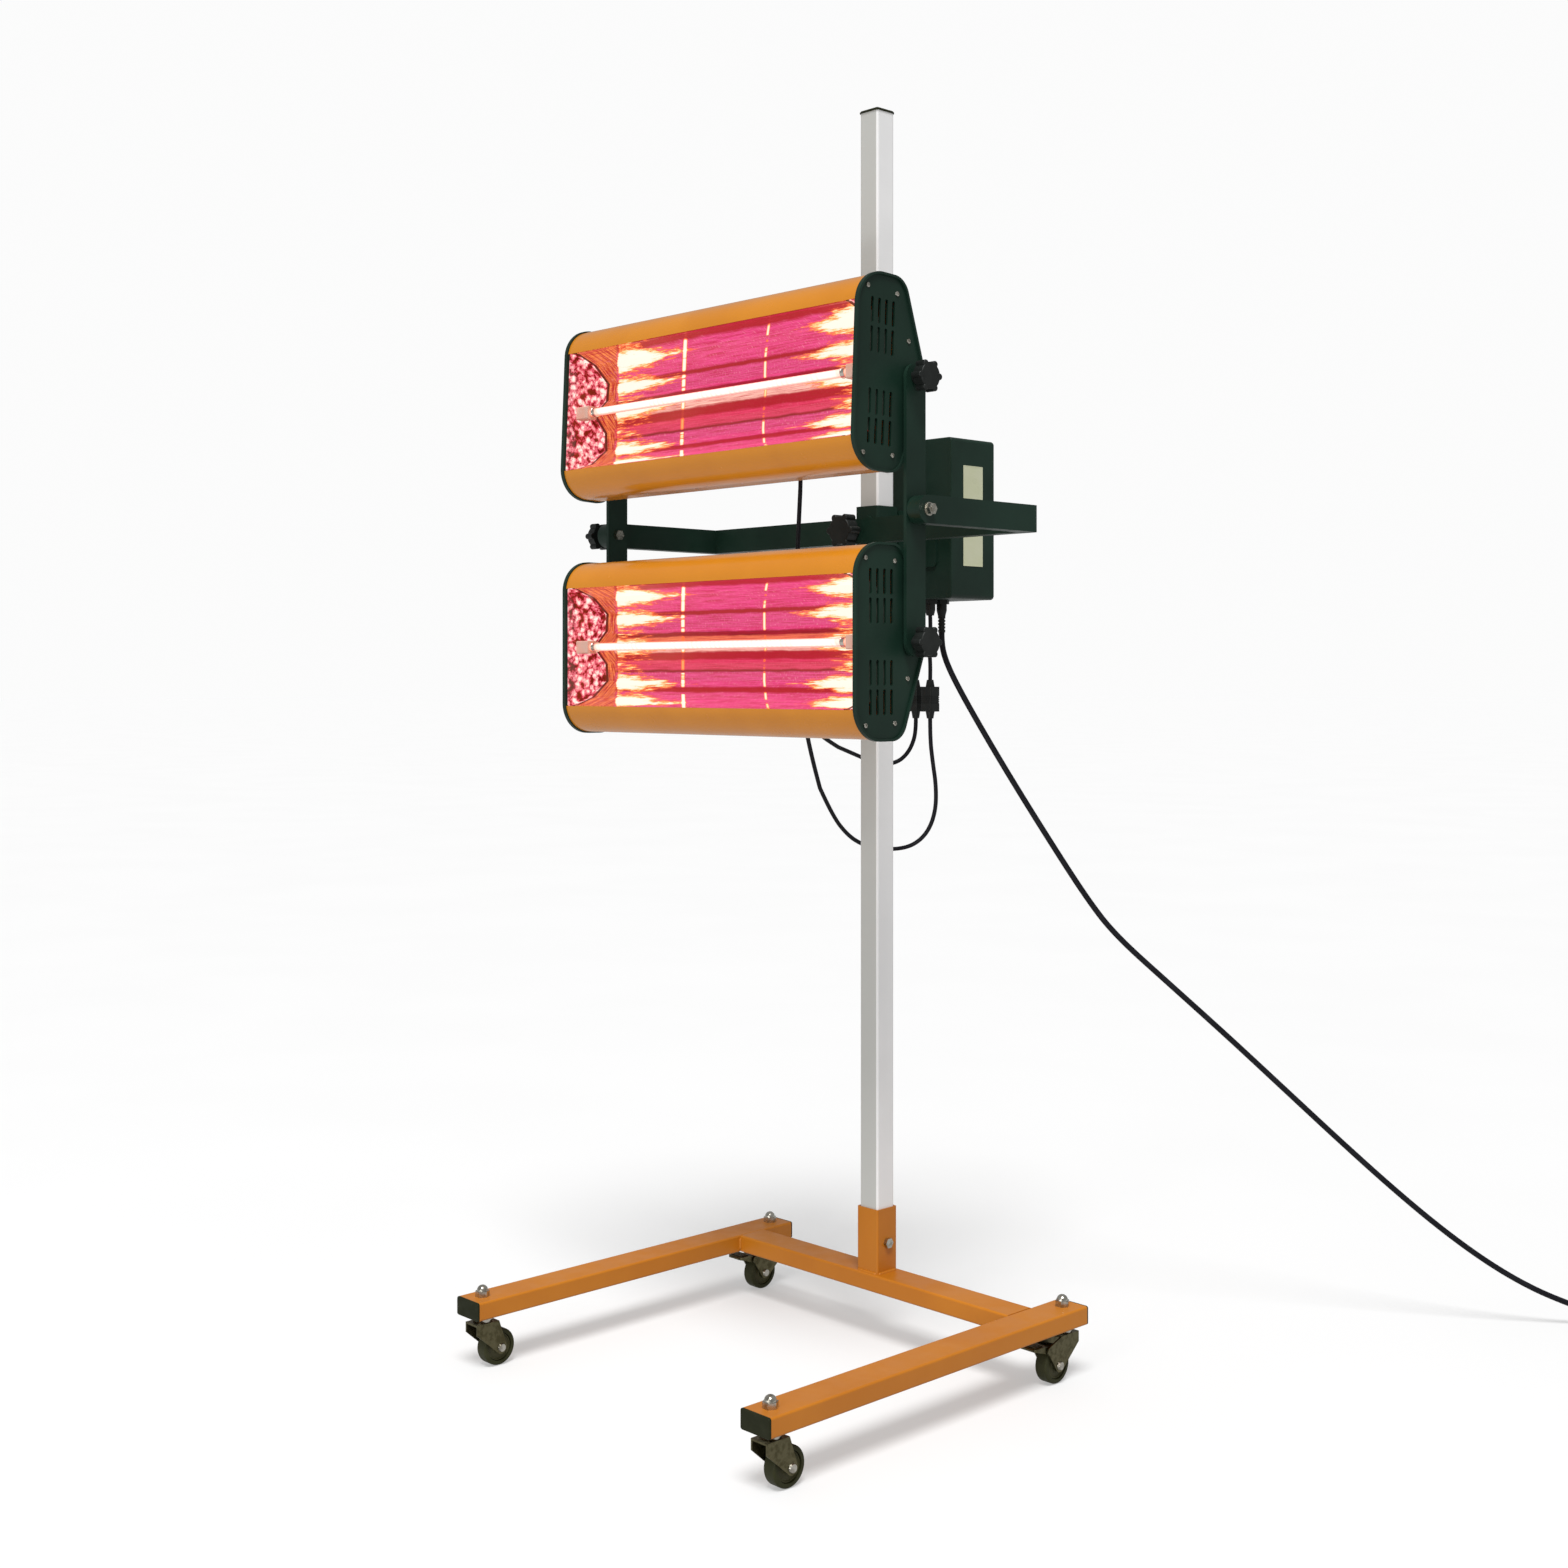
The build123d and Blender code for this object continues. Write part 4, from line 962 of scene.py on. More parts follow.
    def material(self) -> bpy.types.Material:
        """Return the finish as a material."""
        nodes = Nodes(self.name)
        turn = (-self.lamp.lean, 0, 0)
        own = nodes.mapped(nodes.place, "TEXTURE", shift=tuple(self.lamp.pivot), turn=turn)
        across, depth, up = nodes.axes(own)
        # Painted reflections slant with the depth behind the mouth, so that from the camera's side they
        # stand straight.
        behind = nodes.sum("SUBTRACT", depth, MOUTH_Y)
        slanted = nodes.total((across, 1.0), (behind, self.view_slant))
        along = nodes.sum("DIVIDE", slanted, self.half_length)
        wobble = nodes.sum("SUBTRACT", nodes.noise(self.wobble_scale, 4.0, own), 0.5)
        raised = nodes.sum("ADD", up, nodes.sum("MULTIPLY", wobble, self.wobble_size))
        height = nodes.span(raised, -self.half_mouth, self.half_mouth, smooth=False)
        ends = nodes.sum("DIVIDE", nodes.sum("ABSOLUTE", across), self.half_length)
        colour = self.glow(nodes, along, own, height)
        # Painted shadow: a dark strip along each end where the trough meets the end sheets, and past it the
        # hammered sheet's painted glow.
        colour = nodes.mix(nodes.sum("GREATER_THAN", ends, self.scallop_shadow), colour, PAINTED_SCALLOP_SHADOW)
        colour = nodes.mix(nodes.sum("GREATER_THAN", ends, self.scallop), colour, hammered(nodes))
        # The emission paints the glow: reflected light and painted shade on the sheet's front, none on its
        # back.
        nodes.set(
            Base_Color=self.sheet,
            Metallic=self.metallic,
            Roughness=self.roughness,
            Emission_Color=nodes.mix(self.lit_side(nodes, depth, up), UNLIT, colour),
            Emission_Strength=1.0,
        )
        nodes.bump(nodes.noise(self.ripple_scale, 3.0), self.ripple_depth, self.relief)
        return nodes.material


# The hammered gold's painted glow: its dents and sparkles are painted reflected light, from white down to
# painted shade.
DENTS_PER_METRE = 120.0
SPARKLES_PER_METRE = 90.0
SPARKLE_WEIGHT = 3.0
PAINTED_DENT_GLOW: list[tuple[float, Colour]] = [
    (0.0, (1.0, 0.94, 0.86)), (0.18, (1.0, 0.74, 0.64)), (0.36, (0.92, 0.33, 0.36)),
    (0.56, (0.78, 0.09, 0.16)), (0.72, DEEP), (0.88, (0.10, 0.0, 0.0)),
]


def hammered(nodes: Nodes) -> Socket:
    """Paint the tube's light thrown back by hammered gold, as painted reflections in the dents and painted
    sparkles.

    Args:
        nodes: The material being laid out.

    Returns:
        The colour.
    """
    sparkle = nodes.sum("SUBTRACT", nodes.noise(SPARKLES_PER_METRE, 6.0, rough=0.75), 0.5)
    shade = nodes.total((nodes.cells(DENTS_PER_METRE), 1.0), (sparkle, SPARKLE_WEIGHT))
    return nodes.ramp(shade, PAINTED_DENT_GLOW)


@dataclass(frozen=True)
class HammeredPaintedGlow:
    """Hammered end sheet with the tube's reflected light painted on as glow, dull on its outer side."""

    name: str
    back: Colour = (0.06, 0.07, 0.055)
    metallic: float = 0.4
    roughness: float = 0.5
    lit_up_to: float = 0.28265
    dent_depth: float = 0.0012
    relief: float = 0.8

    def material(self) -> bpy.types.Material:
        """Return the finish as a material."""
        nodes = Nodes(self.name)
        across = nodes.sum("ABSOLUTE", nodes.axes()[0])
        inner = nodes.sum("LESS_THAN", across, self.lit_up_to)
        nodes.set(
            Base_Color=self.back,
            Metallic=self.metallic,
            Roughness=self.roughness,
            Emission_Color=nodes.mix(inner, UNLIT, hammered(nodes)),
            Emission_Strength=1.0,
        )
        nodes.bump(nodes.cells(DENTS_PER_METRE), self.dent_depth, self.relief)
        return nodes.material


@dataclass(frozen=True)
class GlowingTube:
    """Quartz tube full of light, with the faint turns of its coil and a painted red rim along its edges."""

    name: str
    pitch: float = 0.009
    slant: float = 300.0
    power: float = 1.0
    middle_z: float = 1.15165
    half_gap: float = 0.16565
    rim_inner: float = 0.0028
    rim_outer: float = 0.0054
    cool_from: float = 0.225
    cool_to: float = 0.262
    haze_scale: float = 40.0
    haze_range: tuple[float, float] = (0.35, 0.65)
    faintest: float = 0.2
    clearest: float = 0.75
    glass: Colour = (0.5, 0.3, 0.25)
    roughness: float = 0.15
    grain_scale: float = 500.0
    grain_depth: float = 0.00002
    relief: float = 0.3

    def material(self) -> bpy.types.Material:
        """Return the finish as a material."""
        nodes = Nodes(self.name)
        across, _, up = nodes.axes()
        phase = nodes.total((across, 2 * pi / self.pitch), (up, self.slant))
        turns = nodes.sum("MULTIPLY_ADD", nodes.sum("SINE", phase), 0.5, 0.5)
        haze = nodes.noise(self.haze_scale, 3.0)
        haze = nodes.span(haze, *self.haze_range, self.faintest, self.clearest)
        colour = nodes.mix(nodes.sum("MULTIPLY", turns, haze), COIL_WHITE, COIL_PINK)
        # Painted shade: a red rim along each tube's top and bottom edges, as the round tube's edges look
        # from the front.
        for middle in (self.middle_z, self.half_gap):
            up = nodes.sum("ABSOLUTE", nodes.sum("SUBTRACT", up, middle))
        colour = nodes.mix(nodes.span(up, self.rim_inner, self.rim_outer), colour, PAINTED_RIM_RED)
        ends = nodes.span(nodes.sum("ABSOLUTE", across), self.cool_from, self.cool_to)
        nodes.set(
            Base_Color=self.glass,
            Roughness=self.roughness,
            Emission_Color=nodes.mix(ends, colour, GLOW_ORANGE),
            Emission_Strength=self.power,
        )
        nodes.bump(nodes.noise(self.grain_scale, 2.0), self.grain_depth, self.relief)
        return nodes.material


GREEN = Paint(
    "dark green powder coat", (0.0085, 0.028, 0.018), (0.006, 0.020, 0.013),
    roughness=0.42, shine=0.22, peel_scale=700.0,
)
ORANGE_FRAME = Paint(
    "orange frame enamel", (0.53, 0.178, 0.010), (0.49, 0.158, 0.008),
    roughness=0.36, shine=0.36, peel_scale=520.0,
)
ORANGE_SKIN = Paint(
    "orange cassette enamel", (0.62, 0.225, 0.012), (0.58, 0.205, 0.010),
    roughness=0.22, coat=0.15, shine=0.4, peel=0.000002, peel_scale=300.0, dust=0.04,
)
# The post's front face takes a darker grey as painted shade.
POST_GREY = Paint(
    "light grey post lacquer", (0.88, 0.88, 0.88), (0.85, 0.85, 0.85),
    peel=0.000008, peel_scale=380.0, dust=0.04, front=(0.53, 0.535, 0.51), front_y=POST_Y - 0.0172,
)
BLACK = Moulding("black moulded plastic", (0.009, 0.011, 0.010), (0.018, 0.021, 0.019), 0.42)
CAP = Moulding("rail cap plastic", (0.014, 0.016, 0.006), (0.026, 0.028, 0.014), shine=0.12)
RUBBER = Moulding(
    "black cord rubber", (0.005, 0.005, 0.008), (0.012, 0.012, 0.016),
    roughness=0.45, shine=0.2, grain=0.00002, grain_scale=2500.0,
)
WHEEL = Moulding(
    "dark olive wheel rubber", (0.030, 0.031, 0.012), (0.05, 0.05, 0.024),
    roughness=0.48, shine=0.12, grain=0.00006, grain_scale=900.0,
)
HUB = Moulding("wheel core nylon", (0.055, 0.052, 0.022), (0.09, 0.085, 0.045), 0.4, 0.15)
CERAMIC = Moulding("tube holder ceramic", (0.62, 0.40, 0.32), (0.7, 0.3, 0.2), 0.6)
LABEL = Moulding("bare pale plate", (0.60, 0.62, 0.42), (0.64, 0.65, 0.48), 0.35, 0.3, 0.00001)
ZINC = Plated("zinc plated steel", (0.56, 0.54, 0.48), (0.34, 0.32, 0.27), 0.24)
FORK = Plated("stamped caster steel", (0.15, 0.135, 0.075), (0.09, 0.080, 0.04), 0.36)
NICKEL = Plated("nickel plated brass", (0.72, 0.68, 0.6), (0.6, 0.55, 0.47), 0.22)
TUBE = GlowingTube("glowing quartz tube")
CHEEK = HammeredPaintedGlow("hammered end reflector")


class Finish(Protocol):
    """What every finish has: a name and a way to make its material."""

    @property
    def name(self) -> str:
        """Return the finish's name."""

    def material(self) -> bpy.types.Material:
        """Return the finish as a material."""


class Wardrobe:
    """Makes each finish once and hands it out."""

    def __init__(self) -> None:
        """Start with no material made."""
        self.made: dict[str, bpy.types.Material] = {}

    def get(self, finish: Finish) -> bpy.types.Material:
        """Return a finish's material, made at its first use.

        Args:
            finish: The finish.

        Returns:
            The material.
        """
        if finish.name not in self.made:
            self.made[finish.name] = finish.material()
        return self.made[finish.name]

    def dress(self, finish: Finish, *names: str) -> None:
        """Give CAD nodes a finish.

        Args:
            finish: The finish.
            names: The nodes' names.
        """
        for name in names:
            for place in bpy.data.objects[name].material_slots:
                place.material = self.get(finish)
        log.info("%s on %s", finish.name, ", ".join(names))

    def hand_over(self, piece: bpy.types.Object, finish: Finish, body: str, slot: str) -> bpy.types.Object:
        """Finish a new piece: its material and its body.

        Args:
            piece: The new piece.
            finish: Its finish.
            body: The body that it rides on.
            slot: Not used.

        Returns:
            The piece.
        """
        piece.data.materials.clear()
        piece.data.materials.append(self.get(finish))
        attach(piece, body)
        log.info("%s rides on %s", piece.name, body)
        return piece


# The object's sub-assemblies


@dataclass
class PanScrew:
    """A small cross-head screw, modelled once and copied.

    The crown holds each ring's share of the radius and of the height.
    """

    wardrobe: Wardrobe
    radius: float = 0.0032
    height: float = 0.0019
    crown: Sequence[tuple[float, float]] = ((1.0, 0.35), (0.9, 0.75), (0.62, 1.0), (0.3, 1.04))
    slot_width: float = 0.0009
    slot_length: float = 0.00368
    seat_depth: float = 0.0003
    turn_step: float = 0.7
    sides: int = 20
    pattern: bpy.types.Object | None = None

    def model(self) -> bpy.types.Object:
        """Return the pattern screw, made at its first use."""
        if self.pattern is None:
            rings = [(self.radius * wide, self.height * high) for wide, high in self.crown]
            head = turned("pan_screw", [(self.radius, -self.seat_depth), *rings], self.sides)
            top = rings[-1][1]
            for size in ((self.slot_length, self.slot_width), (self.slot_width, self.slot_length)):
                cutter = block("screw_cutter", (*size, self.height), (0, 0, top))
                apply_modifier(head, "BOOLEAN", object=cutter, operation="DIFFERENCE", solver="EXACT")
                bpy.data.objects.remove(cutter)
            self.pattern = head
        return self.pattern

    def place(
        self, name: str, spots: Sequence[Sequence[float]], way: Sequence[float], body: str
    ) -> bpy.types.Object:
        """Copy the screw to several spots as one piece.

        Args:
            name: The piece's name.
            spots: The middle of each head's seat.
            way: The way that the heads look.
            body: The body that they ride on.

        Returns:
            The piece.
        """
        copies = []
        for number, spot in enumerate(spots):
            twin = copy_of(self.model(), f"{name}_{number}")
            twin.matrix_world = facing(spot, way) @ Matrix.Rotation(self.turn_step * number, 4, "Z")
            copies.append(twin)
        bpy.context.view_layer.update()
        whole = joined(name, copies)
        return self.wardrobe.hand_over(settle(whole), ZINC, body, "zinc")

    def clear(self) -> None:
        """Delete the pattern screw."""
        if self.pattern is not None:
            bpy.data.objects.remove(self.pattern)
            self.pattern = None


@dataclass
class WeldBead:
    """A rippled fillet weld along a straight seam."""

    wardrobe: Wardrobe
    radius: float = 0.0024
    ripple: float = 0.0018
    end_share: float = 0.35
    swell: float = 0.13
    waver: float = 0.05
    waver_step: float = 1.7
    least_rings: int = 6
    sides: int = 8
    smooth_below: float = 70.0

    def lay(self, name: str, start: Sequence[float], end: Sequence[float], body: str) -> bpy.types.Object:
        """Lay one bead.

        Args:
            name: The piece's name.
            start: Where it starts.
            end: Where it ends.
            body: The body that it rides on.

        Returns:
            The bead.
        """
        first, last = Vector(start), Vector(end)
        length = (last - first).length
        rings = max(self.least_rings, int(length / self.ripple))
        profile = [(self.radius * self.end_share, 0.0)]
        for number in range(1, rings):
            size = 1.0 + self.swell * (number % 2) + self.waver * sin(number * self.waver_step)
            profile.append((self.radius * size, length * number / rings))
        profile.append((self.radius * self.end_share, length))
        bead = turned(name, profile, self.sides)
        settle(bead, facing(first, last - first), self.smooth_below)
        return self.wardrobe.hand_over(bead, ORANGE_FRAME, body, "orange_paint")


@dataclass
class BaseStand:
    """Rails, cross member, post and their welds and caps."""

    wardrobe: Wardrobe
    weld: WeldBead
    rail_x: float = 0.262
    rail_bottom: float = 0.072
    rail_top: float = 0.097
    half_member: float = 0.025
    socket_half: float = 0.020
    seam_gap: float = 0.004
    corner_gap: float = 0.002

    def build(self) -> None:
        """Dress the stand and weld its seams."""
        self.wardrobe.dress(ORANGE_FRAME, "left_rail", "right_rail", "cross_member", "post_socket")
        self.wardrobe.dress(CAP, "rail_caps", "post_cap")
        self.wardrobe.dress(POST_GREY, "post")
        self.wardrobe.dress(ZINC, "acorn_nuts", "socket_bolt", "caster_stems")
        foot, head = self.rail_bottom + self.seam_gap, self.rail_top - self.seam_gap
        for side in Side:
            x = side.value * self.rail_x
            for number, y in enumerate((POST_Y - self.half_member, POST_Y + self.half_member)):
                self.weld.lay(f"weld_{side.name.lower()}_{number}", (x, y, foot), (x, y, head), "base")
        half = self.socket_half
        reach = half - self.corner_gap
        z = self.rail_top
        seams = [
            ((-reach, POST_Y - half, z), (reach, POST_Y - half, z)),
            ((-reach, POST_Y + half, z), (reach, POST_Y + half, z)),
            ((-half, POST_Y - reach, z), (-half, POST_Y + reach, z)),
            ((half, POST_Y - reach, z), (half, POST_Y + reach, z)),
        ]
        for number, (start, end) in enumerate(seams):
            self.weld.lay(f"weld_socket_{number}", start, end, "base")


@dataclass
class Caster:
    """One swivel caster: fork, wheel, core discs and, at the back, a brake."""

    wardrobe: Wardrobe
    corner: str
    disc_radius: float = 0.0182
    disc_bore: float = 0.0083
    disc_thickness: float = 0.0012
    disc_inset: float = 0.0052
    boss_height: float = 0.00216
    boss_slope: float = 0.00084
    rim_height: float = 0.0018
    rim_width: float = 0.00144
    rim_slope: float = 0.00072
    web_height: float = 0.00084
    sides: int = 40

    def build(self) -> None:
        """Dress the caster and fit its core discs."""
        corner = self.corner
        self.wardrobe.dress(FORK, f"{corner}_fork")
        self.wardrobe.dress(ZINC, f"{corner}_axle")
        self.wardrobe.dress(WHEEL, f"{corner}_wheel")
        if corner.startswith("back"):
            self.wardrobe.dress(FORK, f"{corner}_brake_pedal")
        low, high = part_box(f"{corner}_wheel")
        middle = (Vector(low) + Vector(high)) / 2
        offset = (high[0] - low[0]) / 2 - self.disc_inset
        discs = []
        for side in Side:
            disc = self.disc(f"{corner}_disc_{side.name.lower()}")
            disc.matrix_world = facing(middle + Vector((side.value * offset, 0, 0)), (side.value, 0, 0))
            discs.append(disc)
        bpy.context.view_layer.update()
        whole = settle(joined(f"{corner}_wheel_discs", discs))
        self.wardrobe.hand_over(whole, HUB, f"{corner}_wheel_body", "wheel")

    def disc(self, name: str) -> bpy.types.Object:
        """Model a dished core disc with a raised rim.

        Args:
            name: The disc's name.

        Returns:
            The disc, modelled along Z.
        """
        bore, outer, thickness = self.disc_bore, self.disc_radius, self.disc_thickness
        boss, rim = bore + thickness, outer - self.rim_width
        return ring(name, [
            (bore, 0), (bore, self.boss_height), (boss, self.boss_height),
            (boss + self.boss_slope, thickness), (rim - self.rim_slope, self.web_height),
            (rim, self.rim_height), (outer, self.rim_height), (outer, 0),
        ], self.sides)


@dataclass
class Carriage:
    """Sleeve, bracket and control box."""

    wardrobe: Wardrobe
    screws: PanScrew
    plate_height: float = 0.144
    plate_width: float = 0.042
    plate_thickness: float = 0.0006
    plate_back_share: float = 0.53
    plate_lift: float = 0.004
    plate_bevel: float = 0.0002
    border: float = 0.0009
    groove_width: float = 0.0002
    groove_depth: float = 0.00015
    screw_inset: float = 0.012

    def build(self) -> None:
        """Dress the carriage and add the box's screws and bare plate."""
        self.wardrobe.dress(GREEN, "carriage_sleeve", "box_bracket", "control_box", "box_cover")
        self.wardrobe.dress(BLACK, "box_glands", "mains_relief", "lead_connectors")
        low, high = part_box("control_box")
        cover_low, cover_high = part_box("box_cover")
        inset = self.screw_inset
        spots = [
            (x, cover_high[1], z)
            for x in (cover_low[0] + inset, cover_high[0] - inset)
            for z in (cover_low[2] + inset, cover_high[2] - inset)
        ]
        self.screws.place("box_cover_screws", spots, (0, 1, 0), "carriage")
        middle_y = low[1] + (high[1] - low[1]) * self.plate_back_share
        middle_z = (low[2] + high[2]) / 2 + self.plate_lift
        size = (self.plate_thickness, self.plate_width, self.plate_height)
        plate = block("bare_plate", size, (high[0] + self.plate_thickness / 2, middle_y, middle_z))
        apply_modifier(plate, "BEVEL", width=self.plate_bevel, segments=1, limit_method="ANGLE")
        with editing(plate) as mesh:
            pick_faces(mesh, lambda face: face.normal.x > STRAIGHT_ON)
            bpy.ops.mesh.inset(thickness=self.border, depth=0.0)
            bpy.ops.mesh.inset(thickness=self.groove_width, depth=-self.groove_depth)
        self.wardrobe.hand_over(settle(plate), LABEL, "carriage", "green_paint")


@dataclass
class Yoke:
    """The U of tube, its arms, their bolts and the star knobs."""

    wardrobe: Wardrobe

    def build(self) -> None:
        """Dress the yoke, the arms and the knobs."""
        self.wardrobe.dress(GREEN, "yoke", "left_arm", "right_arm")
        self.wardrobe.dress(ZINC, "middle_bolts", "lamp_pivot_studs")
        self.wardrobe.dress(BLACK, "carriage_knob", "frame_tilt_knob", "upper_lamp_knob", "lower_lamp_knob")


@dataclass
class Cassette:
    """One lamp: housing, end plates, reflector, quartz tube and its small pieces."""

    wardrobe: Wardrobe
    screws: PanScrew
    lamp: Lamp
    tube_y: float = -0.0755
    plate_seat: float = 0.287
    cheek_outer: float = 0.2836
    cheek_thickness: float = 0.0012
    clip_x: float = 0.2465
    clip_length: float = 0.007
    clip_bore: float = 0.0056
    clip_wall: float = 0.0009
    clip_sides: int = 28
    lip_depth: float = 0.0015
    section: Sequence[tuple[float, float]] = (
        (0.004, 0.082), (0.036, 0.071), (0.062, 0.048), (0.0604, 0.0232), (0.0396, 0.0),
    )
    screw_spots: Sequence[tuple[float, float]] = (
        (-0.082, 0.102), (-0.082, -0.102), (-0.03, 0.1), (-0.03, -0.1), (-0.007, 0.045), (-0.007, -0.045),
    )

    def build(self) -> None:
        """Dress the cassette, line its ends, clip its tube and screw on its end plates."""
        word = self.lamp.word
        body = f"{word}_lamp"
        self.wardrobe.dress(ORANGE_SKIN, f"{word}_housing")
        self.wardrobe.dress(GREEN, f"{word}_left_end_plate", f"{word}_right_end_plate")
        reflector = PaintedGlowReflector(f"{word} glowing gold reflector", self.lamp)
        self.wardrobe.dress(reflector, f"{word}_reflector")
        self.wardrobe.dress(CERAMIC, f"{word}_tube_holders")
        self.wardrobe.dress(TUBE, f"{word}_quartz_tube")
        self.wardrobe.dress(BLACK, f"{word}_lamp_gland")
        for side in Side:
            x = side.value * self.plate_seat
            spots = [self.lamp.seat @ Vector((x, y, z)) for y, z in self.screw_spots]
            self.screws.place(f"{word}_{side.name.lower()}_plate_screws", spots, (side.value, 0, 0), body)
            self.line_end(side, body)
            self.clip_tube(side, body)

    def line_end(self, side: Side, body: str) -> None:
        """Model the hammered sheet that closes the reflector's end.

        Args:
            side: Which end.
            body: The body that it rides on.
        """
        outline = [*self.section, *[(depth, -height) for depth, height in self.section[-2::-1]]]
        rows = len(outline) - 1
        deselect()
        bpy.ops.mesh.primitive_grid_add(x_subdivisions=1, y_subdivisions=rows, size=1, location=(0, 0, 0))
        sheet = added(f"{self.lamp.word}_{side.name.lower()}_cheek")
        with editing(sheet, "VERT") as mesh:
            corners = [(vertex, vertex.co.y, vertex.co.x > 0) for vertex in mesh.verts]
            for vertex, level, at_back in corners:
                depth, height = outline[rows - round((level + 0.5) * rows)]
                target = Vector((depth if at_back else self.lip_depth, height, 0))
                vertex.select_set(True)
                bpy.ops.transform.translate(value=target - vertex.co)
                vertex.select_set(False)
            bpy.ops.mesh.select_all(action="SELECT")
            bpy.ops.mesh.extrude_region_move(TRANSFORM_OT_translate={"value": (0, 0, self.cheek_thickness)})
        x = side.value * self.cheek_outer
        rows_of_move = ((0, 0, -side.value, x), (1, 0, 0, MOUTH_Y), (0, 1, 0, 0), (0, 0, 0, 1))
        settle(sheet, self.lamp.seat @ Matrix(rows_of_move))
        self.wardrobe.hand_over(sheet, CHEEK, body, "gold_reflector")

    def clip_tube(self, side: Side, body: str) -> None:
        """Model the plated ring that grips the quartz tube beside its holder.

        Args:
            side: Which end.
            body: The body that it rides on.
        """
        bore, outer = self.clip_bore, self.clip_bore + self.clip_wall
        half, lip = self.clip_length / 2, self.clip_wall / 2
        brim = outer + lip
        clip = ring(f"{self.lamp.word}_{side.name.lower()}_tube_clip", [
            (bore, -half), (bore, half), (brim, half), (brim, half - lip),
            (outer, half - 2 * lip), (outer, 2 * lip - half), (brim, lip - half), (brim, -half),
        ], self.clip_sides)
        settle(clip, self.lamp.seat @ facing((side.value * self.clip_x, self.tube_y, 0), (1, 0, 0)))
        self.wardrobe.hand_over(clip, NICKEL, body, "quartz")


@dataclass
class Cord:
    """A free cord on one smooth spline through its given route."""

    name: str
    route: Sequence[Point]
    diameter: float
    sides: int = 4
    steps: int = 8
    order: int = 3

    def spline(self, bevel: float) -> bpy.types.Object:
        """Return the route as a curve object of that bevel radius.

        Args:
            bevel: Radius of the round section, or 0 for the bare line.

        Returns:
            The curve.
        """
        data = bpy.data.curves.new(self.name, "CURVE")
        data.dimensions = "3D"
        data.bevel_depth = bevel
        data.bevel_resolution = self.sides
        data.resolution_u = self.steps
        data.use_fill_caps = bevel > 0
        line = data.splines.new("NURBS")
        line.points.add(len(self.route) - 1)
        for point, place in zip(line.points, self.route):
            point.co = (*place, 1.0)
        line.order_u = self.order
        line.use_endpoint_u = True
        piece = bpy.data.objects.new(self.name, data)
        bpy.context.collection.objects.link(piece)
        return piece

    def centreline(self) -> list[Point]:
        """Return the spline's own points, close together."""
        bare = self.spline(0.0)
        bpy.context.view_layer.update()
        mesh = bpy.data.meshes.new_from_object(bare)
        points = [tuple(vertex.co) for vertex in mesh.vertices]
        bpy.data.meshes.remove(mesh)
        bpy.data.objects.remove(bare)
        return points

    def tube(self) -> bpy.types.Object:
        """Return the cord as a round mesh tube."""
        curve = self.spline(self.diameter / 2)
        take(curve)
        bpy.ops.object.convert(target="MESH")
        piece = added(self.name)
        take(piece)
        bpy.ops.object.shade_smooth()
        return piece


def length_of(points: Sequence[Point]) -> float:
    """Add up the runs between points.

    Args:
        points: The points in order.

    Returns:
        The length.
    """
    return sum((Vector(b) - Vector(a)).length for a, b in zip(points, points[1:]))


@dataclass
class Plug:
    """A round two-pin plug, modelled along its pins from where the cord enters it."""

    wardrobe: Wardrobe
    radius: float = 0.0185
    profile: Sequence[tuple[float, float]] = (
        (0.0052, 0.0), (0.0056, 0.004), (0.0047, 0.0055), (0.0057, 0.007), (0.0058, 0.011),
        (0.0049, 0.0125), (0.0059, 0.014), (0.006, 0.018), (0.0051, 0.0195), (0.006, 0.021),
        (0.0068, 0.026), (0.0122, 0.0268), (0.0130, 0.0285), (0.0131, 0.032), (0.0140, 0.036),
        (0.0168, 0.0445), (0.0182, 0.0488), (0.0184, 0.0505), (0.0184, 0.0585), (0.0178, 0.0598),
        (0.0165, 0.06),
    )
    pin_profile: Sequence[tuple[float, float]] = (
        (0.0024, 0.0585), (0.0024, 0.0775), (0.0019, 0.0787), (0.001, 0.079),
    )
    pin_spacing: float = 0.019
    face_border: float = 0.0015
    face_depth: float = 0.0008
    sides: int = 40
    pin_sides: int = 20

    def build(self, start: Vector, way: Vector) -> list[bpy.types.Object]:
        """Model the plug on the cord's end.

        Args:
            start: Where the cord enters it.
            way: The way that its pins point.

        Returns:
            Its body and its pins.
        """
        place = facing(start, way)
        body = turned("plug_body", self.profile, self.sides)
        with editing(body) as mesh:
            pick_faces(mesh, lambda face: face.normal.z > STRAIGHT_ON)
            bpy.ops.mesh.inset(thickness=self.face_border, depth=0)
            bpy.ops.mesh.extrude_region_move(TRANSFORM_OT_translate={"value": (0, 0, -self.face_depth)})
        settle(body, place)
        self.wardrobe.hand_over(body, BLACK, "base", "plug_rubber")
        across = way.cross(Vector((0, 0, 1))).normalized()
        pins = []
        for side in Side:
            pin = turned(f"plug_pin_{side.name.lower()}", self.pin_profile, self.pin_sides)
            pin.matrix_world = Matrix.Translation(across * side.value * self.pin_spacing / 2) @ place
            pins.append(pin)
        bpy.context.view_layer.update()
        pair = settle(joined("plug_pins", pins))
        self.wardrobe.hand_over(pair, NICKEL, "base", "plug_rubber")
        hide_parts("mains_plug")
        return [body, pair]


